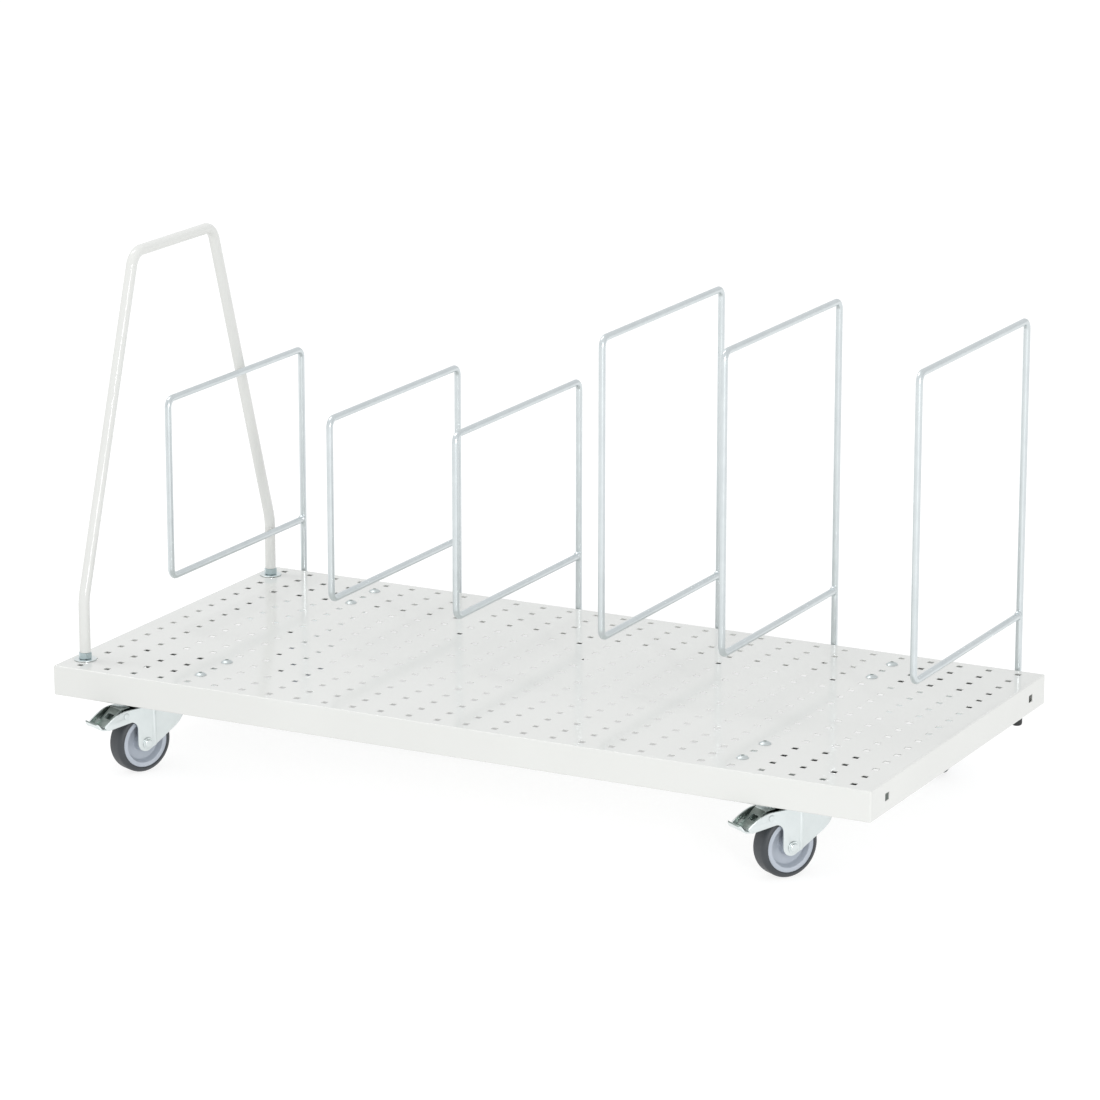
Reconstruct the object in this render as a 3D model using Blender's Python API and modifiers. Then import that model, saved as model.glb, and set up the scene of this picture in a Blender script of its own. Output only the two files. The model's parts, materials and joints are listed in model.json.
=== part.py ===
"""Mobile carton rack: a perforated tray deck on swivel castors, with a tube push handle
at one end and plug-in wire dividers along the rear flange.

Metres, +Z up. The origin is on the floor at the middle of the rack's box. +X runs along the
length, the push handle is at the -X end and the dividers plug in along the +Y side.
"""
import math

import bmesh
import bpy
from mathutils import Matrix, Vector

# Fits
GAP = 0.0003
BOLT_CLEARANCE = 0.0005

# Deck: one folded sheet, punched with a grid of square holes
DECK_LENGTH = 1.425
DECK_DEPTH = 0.685
SHEET = 0.00125
PITCH_X = 0.050
PITCH_Y = 0.040
EDGE_MARGIN = 0.020
PUNCHED_HOLE = 0.010
FLANGE_DROP = 0.049
LIP_WIDTH = 0.015
END_HOLE = (0.015, 0.012)
END_HOLE_INSET = 0.060
END_HOLE_DROP = 0.0245

# Castor wheel
WHEEL_SIDES = 18
WHEEL_RADIUS = 0.050
TYRE_HALF_WIDTH = 0.017
TYRE_SHOULDER = 0.007
TYRE_CHEEK = 0.0035
RIM_RADIUS = 0.041
RIM_RING_WIDTH = 0.0075
RIM_HALF_WIDTH = 0.016
RIM_WEB_HALF = 0.004
RIM_DISH = 0.012
HUB_RADIUS = 0.013
AXLE_RADIUS = 0.005
AXLE_HEAD_RADIUS = 0.0095
AXLE_HEAD = 0.0035

# Castor fork, in a frame with X along the trail, Y along the axle and Z up
TRAIL = 0.037
FORK_SIDE_CLEARANCE = 0.0035
FORK_WALL = 0.0025
FORK_LOBE = 0.0155
FORK_CREASE = 0.014
FORK_TAPER = math.radians(5)
FORK_NOSE_START = 0.045
FORK_NOSE = 0.082
FORK_CHIN_RISE = 0.033
FORK_BACK = 0.0185
FORK_ARCH_RADIUS = 0.013
FORK_ARCH_RISE = 0.027
FORK_ARM_REACH = 0.081
FORK_ARM_RISE = 0.0345
FORK_ARM_DEPTH = 0.0075
FORK_ARM_SLOPE = 0.041
FORK_LOBE_RISE = 0.003
FORK_CROWN = 0.003
CROWN_OVERHANG = 0.0005
CROWN_BACK = 0.012
CASTOR_HEIGHT = 0.1225
PLATE_LENGTH = 0.105
PLATE_WIDTH = 0.085
PLATE_SHEET = 0.003
CUP_HEIGHT = 0.0069
CUP_RADIUS = 0.031
CUP_BORE = 0.020
KINGPIN_RADIUS = 0.006
KINGPIN_HEAD_RADIUS = 0.011
KINGPIN_TOP_HEAD = 0.0025
KINGPIN_LOWER_HEAD = 0.005
CASTOR_TURNS = (-113, -121, -120, 118)

# Brake pedal, measured from the axle along the trail and up
PIVOT_REACH = 0.040
PIVOT_RISE = 0.052
PIN_RADIUS = 0.003
PIN_HEAD_RADIUS = 0.005
PIN_HEAD = 0.0015
PEDAL_SIDE_CLEARANCE = 0.0005
PEDAL_SHEET = 0.0025
PEDAL_PAD_LOW = (0.074, 0.0365)
PEDAL_PAD_HIGH = (0.0430, 0.0635)
PEDAL_KNEE_REACH = 0.011
PEDAL_KNEE_RISE = 0.0015
PEDAL_LIP_REACH = 0.018
PEDAL_LIP_RISE = 0.0105
PEDAL_LIP_ROUND = 0.010
PEDAL_TOP = 0.0145
PEDAL_TOP_ROUND = 0.0034
PEDAL_BOSS = 0.0065
PEDAL_WEB = 0.004
SHOE_LENGTH = 0.0162
SHOE_THICKNESS = 0.005
PEDAL_SLOT_LENGTH = 0.016
PEDAL_SLOT_WIDTH = 0.007

# Castor brackets under the deck, and the bolts that hold them
BRACKET_SHEET = 0.003
BRACKET_WIDTH = 0.124
BRACKET_TONGUE = 0.023
BRACKET_STEP = 0.0325
BRACKET_END_GAP = 0.003
BOLT_COLUMN = 4
BOLT_ROWS = (1, 3)
CASTOR_OUTBOARD = 0.095
CASTOR_OUTWARD = 0.0175
BOLT_RADIUS = 0.004
BOLT_HEAD_RADIUS = 0.0103
BOLT_HEAD = 0.0045
NECK_WIDTH = 0.0094
NUT_FLATS = 0.013
NUT_HEIGHT = 0.0065
BOLT_TAIL = 0.002

# Push handle
HANDLE_RADIUS = 0.009
HANDLE_INSET = 0.0275
HANDLE_FOOT_INSET = 0.0515
HANDLE_UPRIGHT = 0.100
HANDLE_HEIGHT = 0.6355
HANDLE_TOP_HALF = 0.120
HANDLE_LOWER_BEND = 0.080
HANDLE_TOP_BEND = 0.030
STUD_RADIUS = 0.006
STUD_TAIL = 0.003
STUD_WASHER_RADIUS = 0.0185
STUD_WASHER = 0.002
STUD_NUT_FLATS = 0.019
STUD_NUT = 0.010

# Wire dividers, and their sockets on the rear flange
WIRE_RADIUS = 0.0055
WIRE_BEND = 0.014
SHORT_HEIGHT = 0.3865
TALL_HEIGHT = 0.5675
LOWER_BAR = 0.089
DIVIDER_REACH = 0.4265
WELD_RADIUS = 0.0073
SHORT_FROM_HANDLE_END = (0.058, 0.360, 0.588)
TALL_FROM_FAR_END = (0.5790, 0.371, 0.050)
SOCKET_SIDES = 8
SOCKET_WALL = 0.003
SOCKET_TOP = 0.006
SOCKET_DEPTH = 0.088
SOCKET_FLOOR = 0.004
SOCKET_ROUND = 0.004
SOCKET_PLATE_WIDTH = 0.050
SOCKET_PLATE_HEIGHT = 0.034
PEG_WIDTH = 0.0094
PEG_SPACING = 0.034
PEG_DROP = 0.030
PEG_BARB = 0.0025
PEG_BARB_LIP = 0.001

# Heights and outlines that follow from the sizes above
LIP_TOP = CASTOR_HEIGHT
FLANGE_BOTTOM = LIP_TOP - SHEET
DECK_TOP = FLANGE_BOTTOM + FLANGE_DROP
DECK_UNDER = DECK_TOP - SHEET
HOLES_X = int((DECK_LENGTH - 2 * EDGE_MARGIN) / PITCH_X) + 1
HOLES_Y = int((DECK_DEPTH - 2 * EDGE_MARGIN) / PITCH_Y) + 1
PLATE_UNDER = CASTOR_HEIGHT - PLATE_SHEET
CROWN_TOP = PLATE_UNDER - CUP_HEIGHT - GAP
CROWN_UNDER = CROWN_TOP - FORK_CROWN
FORK_INNER = TYRE_HALF_WIDTH + FORK_SIDE_CLEARANCE
FORK_OUTER = FORK_INNER + FORK_WALL
BRACKET_UNDER = LIP_TOP + GAP
BRACKET_TOP = DECK_UNDER - GAP
SOCKET_RADIUS = WIRE_RADIUS + GAP + SOCKET_WALL
LEG_Y = DECK_DEPTH / 2 + GAP + SOCKET_RADIUS


def hole_x(column):
    """Place of a column of punched holes, counted from the handle's end."""
    return (column - (HOLES_X - 1) / 2) * PITCH_X


def hole_y(row):
    """Place of a row of punched holes, counted from the front."""
    return (row - (HOLES_Y - 1) / 2) * PITCH_Y


BOLT_X = -hole_x(BOLT_COLUMN)
BOLT_HALF_SPACING = (hole_y(BOLT_ROWS[1]) - hole_y(BOLT_ROWS[0])) / 2
BOLT_Y = -(hole_y(BOLT_ROWS[0]) + hole_y(BOLT_ROWS[1])) / 2
CASTOR_X = BOLT_X + CASTOR_OUTBOARD
CASTOR_Y = BOLT_Y + CASTOR_OUTWARD
HANDLE_X = HANDLE_INSET - DECK_LENGTH / 2
HANDLE_Y = DECK_DEPTH / 2 - HANDLE_FOOT_INSET
DIVIDERS = [(place - DECK_LENGTH / 2, SHORT_HEIGHT) for place in SHORT_FROM_HANDLE_END]
DIVIDERS += [(DECK_LENGTH / 2 - place, TALL_HEIGHT) for place in TALL_FROM_FAR_END]


for old in list(bpy.data.objects):
    bpy.data.objects.remove(old)
rack = bpy.data.collections.new("carton_rack")
bpy.context.scene.collection.children.link(rack)


def linear(hex_colour):
    """Linear colour of an sRGB hex value."""
    channels = [int(hex_colour[i:i + 2], 16) / 255 for i in (0, 2, 4)]
    return [c / 12.92 if c <= 0.04045 else ((c + 0.055) / 1.055) ** 2.4 for c in channels]


def material(name, hex_colour, roughness, metallic=0.0):
    """A Principled material in one colour."""
    made = bpy.data.materials.new(name)
    made.use_nodes = True
    shader = made.node_tree.nodes["Principled BSDF"]
    shader.inputs["Base Color"].default_value = (*linear(hex_colour), 1.0)
    shader.inputs["Roughness"].default_value = roughness
    shader.inputs["Metallic"].default_value = metallic
    made.diffuse_color = (*linear(hex_colour), 1.0)
    return made


POWDER_COAT = material("light grey powder coat", "E6E7E5", 0.3)
ZINC = material("bright zinc plate", "D4DCDD", 0.3, 1.0)
PRESSED_ZINC = material("zinc plated pressing", "CED9D9", 0.35, 1.0)
RIM_PLASTIC = material("grey polypropylene", "88919A", 0.45)
TYRE_RUBBER = material("grey thermoplastic rubber", "4E5358", 0.6)
BLACK_PLASTIC = material("black nylon", "282828", 0.5)


def around(radius, sides):
    """Corner radius of a regular polygon whose flats lie at the radius."""
    return radius / math.cos(math.pi / sides)


def circle(radius, sides, centre=(0.0, 0.0), turn=0.5):
    """Corners of a regular polygon, turned by a share of one side."""
    step = 2 * math.pi / sides
    return [(centre[0] + radius * math.cos((k + turn) * step),
             centre[1] + radius * math.sin((k + turn) * step)) for k in range(sides)]


def arc(centre, radius, start, end, steps):
    """Points along an arc, ends included, angles in degrees."""
    angles = [math.radians(start + (end - start) * k / steps) for k in range(steps + 1)]
    return [(centre[0] + radius * math.cos(a), centre[1] + radius * math.sin(a)) for a in angles]


def rounded_path(points, radii, steps):
    """A path through the points, with an arc of the given radius at each inner point."""
    path = [Vector(points[0])]
    for before, corner, after, radius in zip(points, points[1:], points[2:], radii):
        corner = Vector(corner)
        back = (Vector(before) - corner).normalized()
        ahead = (Vector(after) - corner).normalized()
        half = back.angle(ahead) / 2
        reach = radius / math.tan(half)
        centre = corner + (back + ahead).normalized() * (radius / math.sin(half))
        first = corner + back * reach - centre
        last = corner + ahead * reach - centre
        sweep = first.angle(last)
        for k in range(steps + 1):
            share = k / steps
            weight = math.sin(sweep)
            spoke = first * (math.sin((1 - share) * sweep) / weight) + last * (math.sin(share * sweep) / weight)
            path.append(centre + spoke)
    path.append(Vector(points[-1]))
    return path


def bent_sheet(points, thickness):
    """Outline of a folded sheet: one face follows the points, the other lies to their left."""
    points = [Vector(p) for p in points]
    normals = []
    for here, there in zip(points, points[1:]):
        along = (there - here).normalized()
        normals.append(Vector((-along.y, along.x)))
    other = [points[0] + normals[0] * thickness]
    for before, after, corner in zip(normals, normals[1:], points[1:]):
        middle = (before + after).normalized()
        other.append(corner + middle * (thickness / middle.dot(before)))
    other.append(points[-1] + normals[-1] * thickness)
    return [tuple(p) for p in points] + [tuple(p) for p in reversed(other)]


def link(obj):
    rack.objects.link(obj)
    return obj


def mesh_object(name, shape):
    """An object from a bmesh, which is freed."""
    mesh = bpy.data.meshes.new(name)
    shape.to_mesh(mesh)
    shape.free()
    return link(bpy.data.objects.new(name, mesh))


def settle(obj):
    """A mesh object with its modifiers or its curve turned into mesh, caps welded."""
    bpy.context.view_layer.update()
    evaluated = obj.evaluated_get(bpy.context.evaluated_depsgraph_get())
    mesh = bpy.data.meshes.new_from_object(evaluated)
    shape = bmesh.new()
    shape.from_mesh(mesh)
    bmesh.ops.remove_doubles(shape, verts=shape.verts, dist=0.000001)
    shape.to_mesh(mesh)
    shape.free()
    name = obj.name
    place = obj.matrix_world.copy()
    bpy.data.objects.remove(obj)
    settled = link(bpy.data.objects.new(name, mesh))
    settled.matrix_world = place
    return settled


def combine(body, tool, operation):
    """Boolean of two mesh objects. The tool is used up."""
    modifier = body.modifiers.new(operation.lower(), "BOOLEAN")
    modifier.object = tool
    modifier.operation = operation
    settled = settle(body)
    bpy.data.objects.remove(tool)
    return settled


def box(name, low, high):
    """A box between two corners."""
    low = Vector(low)
    high = Vector(high)
    shape = bmesh.new()
    place = Matrix.Translation((low + high) / 2) @ Matrix.Diagonal((*(high - low), 1.0))
    bmesh.ops.create_cube(shape, size=1.0, matrix=place)
    return mesh_object(name, shape)


def boxes(name, size, places):
    """Equal boxes at many places, as one object."""
    shape = bmesh.new()
    for place in places:
        bmesh.ops.create_cube(shape, size=1.0, matrix=Matrix.Translation(place) @ Matrix.Diagonal((*size, 1.0)))
    return mesh_object(name, shape)


def rods(name, radius, sides, low, high, places):
    """Upright round cutters or pins between two heights, their flats at the radius."""
    shape = bmesh.new()
    for x, y in places:
        bmesh.ops.create_cone(shape, cap_ends=True, segments=sides, radius1=around(radius, sides),
                              radius2=around(radius, sides), depth=high - low,
                              matrix=Matrix.Translation((x, y, (low + high) / 2)))
    return mesh_object(name, shape)


def plate(name, outline, low, high, holes=()):
    """A flat outline with its holes, given thickness from low to high along Z."""
    curve = bpy.data.curves.new(name, "CURVE")
    curve.dimensions = "2D"
    curve.fill_mode = "BOTH"
    curve.extrude = (high - low) / 2
    for loop in (outline, *holes):
        spline = curve.splines.new("POLY")
        spline.points.add(len(loop) - 1)
        for point, (x, y) in zip(spline.points, loop):
            point.co = (x, y, 0.0, 1.0)
        spline.use_cyclic_u = True
    made = link(bpy.data.objects.new(name, curve))
    made.location.z = (low + high) / 2
    made = settle(made)
    made.data.transform(made.matrix_world)
    made.matrix_world = Matrix.Identity(4)
    return made


def stand(obj):
    """Turn a plate's outline upright: its Y becomes Z, and its thickness lies along Y."""
    obj.data.transform(Matrix.Rotation(math.pi / 2, 4, "X"))
    return obj


def turned(name, profile, sides, closed=False):
    """A profile of (radius, height) points, top to bottom on its outer side, turned about Z."""
    shape = bmesh.new()
    corners = [shape.verts.new((radius, 0.0, height)) for radius, height in profile]
    for here, there in zip(corners, corners[1:]):
        shape.edges.new((here, there))
    if closed:
        shape.edges.new((corners[-1], corners[0]))
    made = mesh_object(name, shape)
    screw = made.modifiers.new("turn", "SCREW")
    screw.steps = sides
    screw.render_steps = sides
    screw.use_merge_vertices = True
    screw.merge_threshold = 0.00001
    return settle(made)


def lay_along_y(obj):
    """Turn a turned piece so that its axis lies along Y."""
    obj.data.transform(Matrix.Rotation(-math.pi / 2, 4, "X"))
    return obj


def tube(name, path, radius, resolution, narrow=()):
    """A round bar along a path. Points listed in narrow have their own share of the radius."""
    curve = bpy.data.curves.new(name, "CURVE")
    curve.dimensions = "3D"
    curve.bevel_depth = radius
    curve.bevel_resolution = resolution
    curve.use_fill_caps = True
    spline = curve.splines.new("POLY")
    spline.points.add(len(path) - 1)
    for point, place in zip(spline.points, path):
        point.co = (*place, 1.0)
    for index, share in narrow:
        spline.points[index].radius = share
    return settle(link(bpy.data.objects.new(name, curve)))


def rivet(name, radius, head_radius, head, half_grip, sides):
    """A pin with a low head at each end, along Y."""
    crown = head_radius * 0.7
    profile = [(0.0, half_grip + head), (crown, half_grip + head), (head_radius, half_grip + head * 0.4),
               (head_radius, half_grip), (radius, half_grip)]
    profile += [(r, -h) for r, h in reversed(profile)]
    return lay_along_y(turned(name, profile, sides))


def hex_nut(name, flats, height, bore):
    """A hexagon nut that stands on Z = 0."""
    return plate(name, circle(around(flats / 2, 6), 6), 0.0, height, [circle(around(bore, 6), 6)])


def take_mesh(obj):
    """The mesh of an object, which is removed."""
    mesh = obj.data
    bpy.data.objects.remove(obj)
    return mesh


def piece(name, mesh, finish, parent=None, location=(0.0, 0.0, 0.0), turn=0.0):
    """A finished piece of the rack, with its own object and material."""
    made = link(bpy.data.objects.new(name, mesh.copy()))
    made.data.name = name
    made.data.materials.clear()
    made.data.materials.append(finish)
    made.data.shade_smooth()
    made.data.set_sharp_from_angle(angle=math.radians(35))
    made.parent = parent
    made.location = location
    made.rotation_euler.z = turn
    return made


def pivot(name, parent, location, turn=0.0):
    """An empty on a joint's axis."""
    made = link(bpy.data.objects.new(name, None))
    made.parent = parent
    made.location = location
    made.rotation_euler.z = turn
    return made


footprint = pivot("footprint", None, (0.0, 0.0, 0.0))


# Deck tray
def deck_tray():
    half = Vector((DECK_LENGTH / 2, DECK_DEPTH / 2, 0.0))
    wall = Vector((SHEET, SHEET, 0.0))
    lip = Vector((SHEET + LIP_WIDTH, SHEET + LIP_WIDTH, 0.0))
    up = Vector((0.0, 0.0, 1.0))
    tray = box("tray", -half + up * FLANGE_BOTTOM, half + up * DECK_TOP)
    hollow = box("hollow", -half + wall + up * LIP_TOP, half - wall + up * DECK_UNDER)
    tray = combine(tray, hollow, "DIFFERENCE")
    mouth = box("mouth", -half + lip + up * (FLANGE_BOTTOM - SHEET), half - lip + up * (LIP_TOP + SHEET))
    tray = combine(tray, mouth, "DIFFERENCE")
    feet = [(HANDLE_X, side * HANDLE_Y) for side in (-1, 1)]
    for x, y in feet:
        weld_nut = plate("weld_nut", circle(around(STUD_NUT_FLATS / 2, 6), 6, (x, y)),
                         DECK_UNDER - STUD_NUT, DECK_UNDER + SHEET / 2)
        tray = combine(tray, weld_nut, "UNION")
    punched = [(hole_x(i), hole_y(j), DECK_TOP) for i in range(HOLES_X) for j in range(HOLES_Y)]
    tray = combine(tray, boxes("punches", (PUNCHED_HOLE, PUNCHED_HOLE, 4 * SHEET), punched), "DIFFERENCE")
    drills = rods("drills", STUD_RADIUS + GAP, 12, DECK_UNDER - STUD_NUT - SHEET, DECK_TOP + SHEET, feet)
    tray = combine(tray, drills, "DIFFERENCE")
    ends = [(end * DECK_LENGTH / 2, side * (DECK_DEPTH / 2 - END_HOLE_INSET), DECK_TOP - END_HOLE_DROP)
            for end in (-1, 1) for side in (-1, 1)]
    tray = combine(tray, boxes("end_punches", (4 * SHEET, *END_HOLE), ends), "DIFFERENCE")
    pegs = [(x + side * PEG_SPACING / 2, DECK_DEPTH / 2, DECK_TOP - PEG_DROP)
            for x, _ in DIVIDERS for side in (-1, 1)]
    peg_hole = PEG_WIDTH + 2 * GAP
    tray = combine(tray, boxes("peg_punches", (peg_hole, 4 * SHEET, peg_hole), pegs), "DIFFERENCE")
    piece("deck_tray", take_mesh(tray), POWDER_COAT, footprint)


deck_tray()


# Push handle: its studs screw into the weld nuts, and a washer and lock nut hold each from above
WASHER_LEVEL = DECK_TOP + GAP
NUT_LEVEL = WASHER_LEVEL + STUD_WASHER + GAP
SHOULDER = NUT_LEVEL + STUD_NUT + GAP


def push_handle():
    foot = DECK_UNDER - STUD_NUT - STUD_TAIL
    corners = [(HANDLE_X, -HANDLE_Y, foot), (HANDLE_X, -HANDLE_Y, DECK_TOP + HANDLE_UPRIGHT),
               (HANDLE_X, -HANDLE_TOP_HALF, DECK_TOP + HANDLE_HEIGHT)]
    corners += [(x, -y, z) for x, y, z in reversed(corners)]
    bends = (HANDLE_LOWER_BEND, HANDLE_TOP_BEND, HANDLE_TOP_BEND, HANDLE_LOWER_BEND)
    path = rounded_path(corners, bends, 4)
    shoulders = [Vector((HANDLE_X, -HANDLE_Y, SHOULDER - GAP / 2)), Vector((HANDLE_X, -HANDLE_Y, SHOULDER + GAP / 2))]
    mirrored = [Vector((p.x, -p.y, p.z)) for p in reversed(shoulders)]
    path = path[:1] + shoulders + path[1:-1] + mirrored + path[-1:]
    last = len(path) - 1
    stud = STUD_RADIUS / HANDLE_RADIUS
    narrow = [(0, stud), (1, stud), (last - 1, stud), (last, stud)]
    piece("push_handle", take_mesh(tube("handle", path, HANDLE_RADIUS, 3, narrow)), POWDER_COAT, footprint)
    nut = take_mesh(hex_nut("nut", STUD_NUT_FLATS, STUD_NUT, STUD_RADIUS + GAP))
    washer = take_mesh(plate("washer", circle(STUD_WASHER_RADIUS, 18), 0.0, STUD_WASHER,
                             [circle(around(STUD_RADIUS + BOLT_CLEARANCE, 10), 10)]))
    for number, side in enumerate((-1, 1), 1):
        piece(f"handle_washer_{number}", washer, ZINC, footprint, (HANDLE_X, side * HANDLE_Y, WASHER_LEVEL))
        piece(f"handle_nut_{number}", nut, ZINC, footprint, (HANDLE_X, side * HANDLE_Y, NUT_LEVEL))


push_handle()


# Divider sockets and wire dividers
def socket_mesh():
    """A sleeve for one leg, with a plate against the flange and two barbed pegs through it."""
    low = -SOCKET_TOP - SOCKET_DEPTH
    bore = around(WIRE_RADIUS + GAP, SOCKET_SIDES)
    profile = [(bore, -SOCKET_TOP), (SOCKET_RADIUS, -SOCKET_TOP), (SOCKET_RADIUS, low + SOCKET_ROUND),
               (SOCKET_RADIUS - SOCKET_ROUND / 3, low + SOCKET_ROUND / 3), (SOCKET_RADIUS - SOCKET_ROUND, low),
               (0.0, low)]
    bottom = low + SOCKET_FLOOR
    profile = [(0.0, bottom), (bore, bottom)] + profile
    sleeve = turned("sleeve", profile, SOCKET_SIDES)
    face = -SOCKET_RADIUS
    half = SOCKET_PLATE_WIDTH / 2
    top = -SOCKET_TOP - SOCKET_WALL
    back = box("back", (-half, face, top - SOCKET_PLATE_HEIGHT), (half, face + SOCKET_WALL, top))
    core = rods("core", WIRE_RADIUS + GAP, SOCKET_SIDES, bottom, 0.0, [(0.0, 0.0)])
    inside = face - GAP - SHEET - GAP
    for side in (-1, 1):
        x = side * PEG_SPACING / 2
        peg = box("peg", (x - PEG_WIDTH / 2, inside - PEG_BARB / 2, -PEG_DROP - PEG_WIDTH / 2),
                  (x + PEG_WIDTH / 2, face + SOCKET_WALL / 2, -PEG_DROP + PEG_WIDTH / 2))
        barb_half = PEG_WIDTH / 2 + PEG_BARB_LIP
        barb = box("barb", (x - PEG_WIDTH / 3, inside - PEG_BARB, -PEG_DROP - barb_half),
                   (x + PEG_WIDTH / 3, inside, -PEG_DROP + barb_half))
        back = combine(back, combine(peg, barb, "UNION"), "UNION")
    back = combine(back, core, "DIFFERENCE")
    return take_mesh(combine(sleeve, back, "UNION"))


def divider_mesh(height):
    """One bent wire: leg, top bar, front leg and a lower bar welded to the leg."""
    foot = -SOCKET_TOP - SOCKET_DEPTH + SOCKET_FLOOR + GAP
    corners = [(0.0, 0.0, foot), (0.0, 0.0, height), (0.0, -DIVIDER_REACH, height),
               (0.0, -DIVIDER_REACH, LOWER_BAR), (0.0, -WIRE_RADIUS - GAP, LOWER_BAR)]
    wire = tube("wire", rounded_path(corners, [WIRE_BEND] * 3, 3), WIRE_RADIUS, 2)
    shape = bmesh.new()
    bmesh.ops.create_uvsphere(shape, u_segments=6, v_segments=4, radius=WELD_RADIUS,
                              matrix=Matrix.Translation((0.0, -WIRE_RADIUS, LOWER_BAR)))
    weld = mesh_object("weld", shape)
    return take_mesh(combine(wire, weld, "UNION"))


def dividers():
    socket = socket_mesh()
    wires = {height: divider_mesh(height) for height in (SHORT_HEIGHT, TALL_HEIGHT)}
    for number, (x, height) in enumerate(DIVIDERS, 1):
        place = pivot(f"divider_{number}_axis", footprint, (x, LEG_Y, DECK_TOP))
        piece(f"divider_socket_{number}", socket, BLACK_PLASTIC, place)
        piece(f"divider_{number}", wires[height], ZINC, place)


dividers()


# Castor brackets with the bolts through the deck
CORNERS = [(end, side) for side in (-1, 1) for end in (-1, 1)]


def bracket_mesh(hand):
    """A Z-shaped pressing: the tongue is bolted up to the deck, the end sits on the return lip,
    and a plate with a ball cup is welded below, set out towards the deck's long edge."""
    inner = -CASTOR_OUTBOARD - BRACKET_TONGUE
    step = -CASTOR_OUTBOARD + BRACKET_STEP
    outer = DECK_LENGTH / 2 - SHEET - BRACKET_END_GAP - CASTOR_X
    path = [(inner, BRACKET_TOP - BRACKET_SHEET), (step - BRACKET_SHEET, BRACKET_TOP - BRACKET_SHEET),
            (step - BRACKET_SHEET, BRACKET_UNDER), (outer, BRACKET_UNDER)]
    bracket = stand(plate("bracket", bent_sheet(path, BRACKET_SHEET), -BRACKET_WIDTH / 2, BRACKET_WIDTH / 2))
    deck_bolts = [(-CASTOR_OUTBOARD, side * BOLT_HALF_SPACING) for side in (-1, 1)]
    low = BRACKET_UNDER - BRACKET_SHEET
    drills = rods("drills", BOLT_RADIUS + BOLT_CLEARANCE, 6, low, DECK_TOP, deck_bolts)
    bracket = combine(bracket, drills, "DIFFERENCE")
    half = Vector((PLATE_LENGTH / 2, PLATE_WIDTH / 2, 0.0))
    aside = hand * CASTOR_OUTWARD
    under = Vector((0.0, aside, PLATE_UNDER))
    welded = Vector((0.0, aside, BRACKET_UNDER + BRACKET_SHEET / 2))
    bracket = combine(bracket, box("head_plate", under - half, welded + half), "UNION")
    top = PLATE_UNDER + PLATE_SHEET / 2
    foot = CROWN_TOP + GAP
    profile = [(CUP_BORE, top), (CUP_RADIUS * 0.9, top), (CUP_RADIUS, foot), (CUP_BORE, foot)]
    cup = turned("ball_cup", profile, 12, closed=True)
    cup.data.transform(Matrix.Translation((0.0, aside, 0.0)))
    bracket = combine(bracket, cup, "UNION")
    hub = rods("hub", KINGPIN_RADIUS + GAP, 8, foot, DECK_UNDER, [(0.0, aside)])
    return take_mesh(combine(bracket, hub, "DIFFERENCE"))


def castor_brackets():
    pressings = {hand: bracket_mesh(hand) for hand in (-1, 1)}
    for number, (end, side) in enumerate(CORNERS, 1):
        turn = 0.0 if end > 0 else math.pi
        piece(f"castor_bracket_{number}", pressings[end * side], PRESSED_ZINC, footprint,
              (end * CASTOR_X, side * BOLT_Y, 0.0), turn)


def deck_bolts():
    """Cup-square bolts from above, with nuts under the bracket tongues."""
    dome = [(0.0, BOLT_HEAD), (BOLT_HEAD_RADIUS * 0.62, BOLT_HEAD * 0.8), (BOLT_HEAD_RADIUS, 0.0), (0.0, 0.0)]
    head = turned("head", dome, 10)
    sunk = BOLT_HEAD * 0.5
    neck_foot = DECK_UNDER - DECK_TOP - GAP
    neck = boxes("neck", (NECK_WIDTH, NECK_WIDTH, sunk - neck_foot), [(0.0, 0.0, (sunk + neck_foot) / 2)])
    nut_level = BRACKET_TOP - BRACKET_SHEET - GAP - NUT_HEIGHT
    foot = nut_level - BOLT_TAIL - WASHER_LEVEL
    shank = rods("shank", BOLT_RADIUS * math.cos(math.pi / 6), 6, foot, sunk * 0.5, [(0.0, 0.0)])
    bolt = take_mesh(combine(combine(head, neck, "UNION"), shank, "UNION"))
    nut = take_mesh(hex_nut("nut", NUT_FLATS, NUT_HEIGHT, BOLT_RADIUS + GAP))
    holes = [(end * BOLT_X, side * BOLT_Y + near * BOLT_HALF_SPACING)
             for end, side in CORNERS for near in (-1, 1)]
    for number, (x, y) in enumerate(holes, 1):
        piece(f"deck_bolt_{number}", bolt, ZINC, footprint, (x, y, WASHER_LEVEL))
        piece(f"deck_bolt_nut_{number}", nut, ZINC, footprint, (x, y, nut_level))


castor_brackets()
deck_bolts()


# Castors
def kingpin_mesh():
    """A riveted pin that holds the fork's crown up to the ball cup."""
    low = CROWN_UNDER - GAP
    top = BRACKET_UNDER + BRACKET_SHEET + GAP
    head = KINGPIN_HEAD_RADIUS
    profile = [(0.0, top + KINGPIN_TOP_HEAD), (head, top + KINGPIN_TOP_HEAD), (head, top), (KINGPIN_RADIUS, top),
               (KINGPIN_RADIUS, low), (head, low), (head, low - KINGPIN_LOWER_HEAD), (0.0, low - KINGPIN_LOWER_HEAD)]
    return take_mesh(turned("kingpin", profile, 8))


def fork_plan(inset):
    """Half of the fork's plan, from its back to its nose, drawn in by the inset."""
    side = FORK_OUTER - inset
    nose_side = side - (FORK_NOSE_START - FORK_CREASE) * math.tan(FORK_TAPER)
    length = FORK_NOSE - FORK_NOSE_START - inset
    back = TRAIL + FORK_ARM_REACH + FORK_WALL
    half = [(back, side), (TRAIL - FORK_CREASE, side)]
    half += [(TRAIL - FORK_NOSE_START - length * math.sin(math.radians(a)), nose_side * math.cos(math.radians(a)))
             for a in (0, 30, 60, 90)]
    return half


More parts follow.
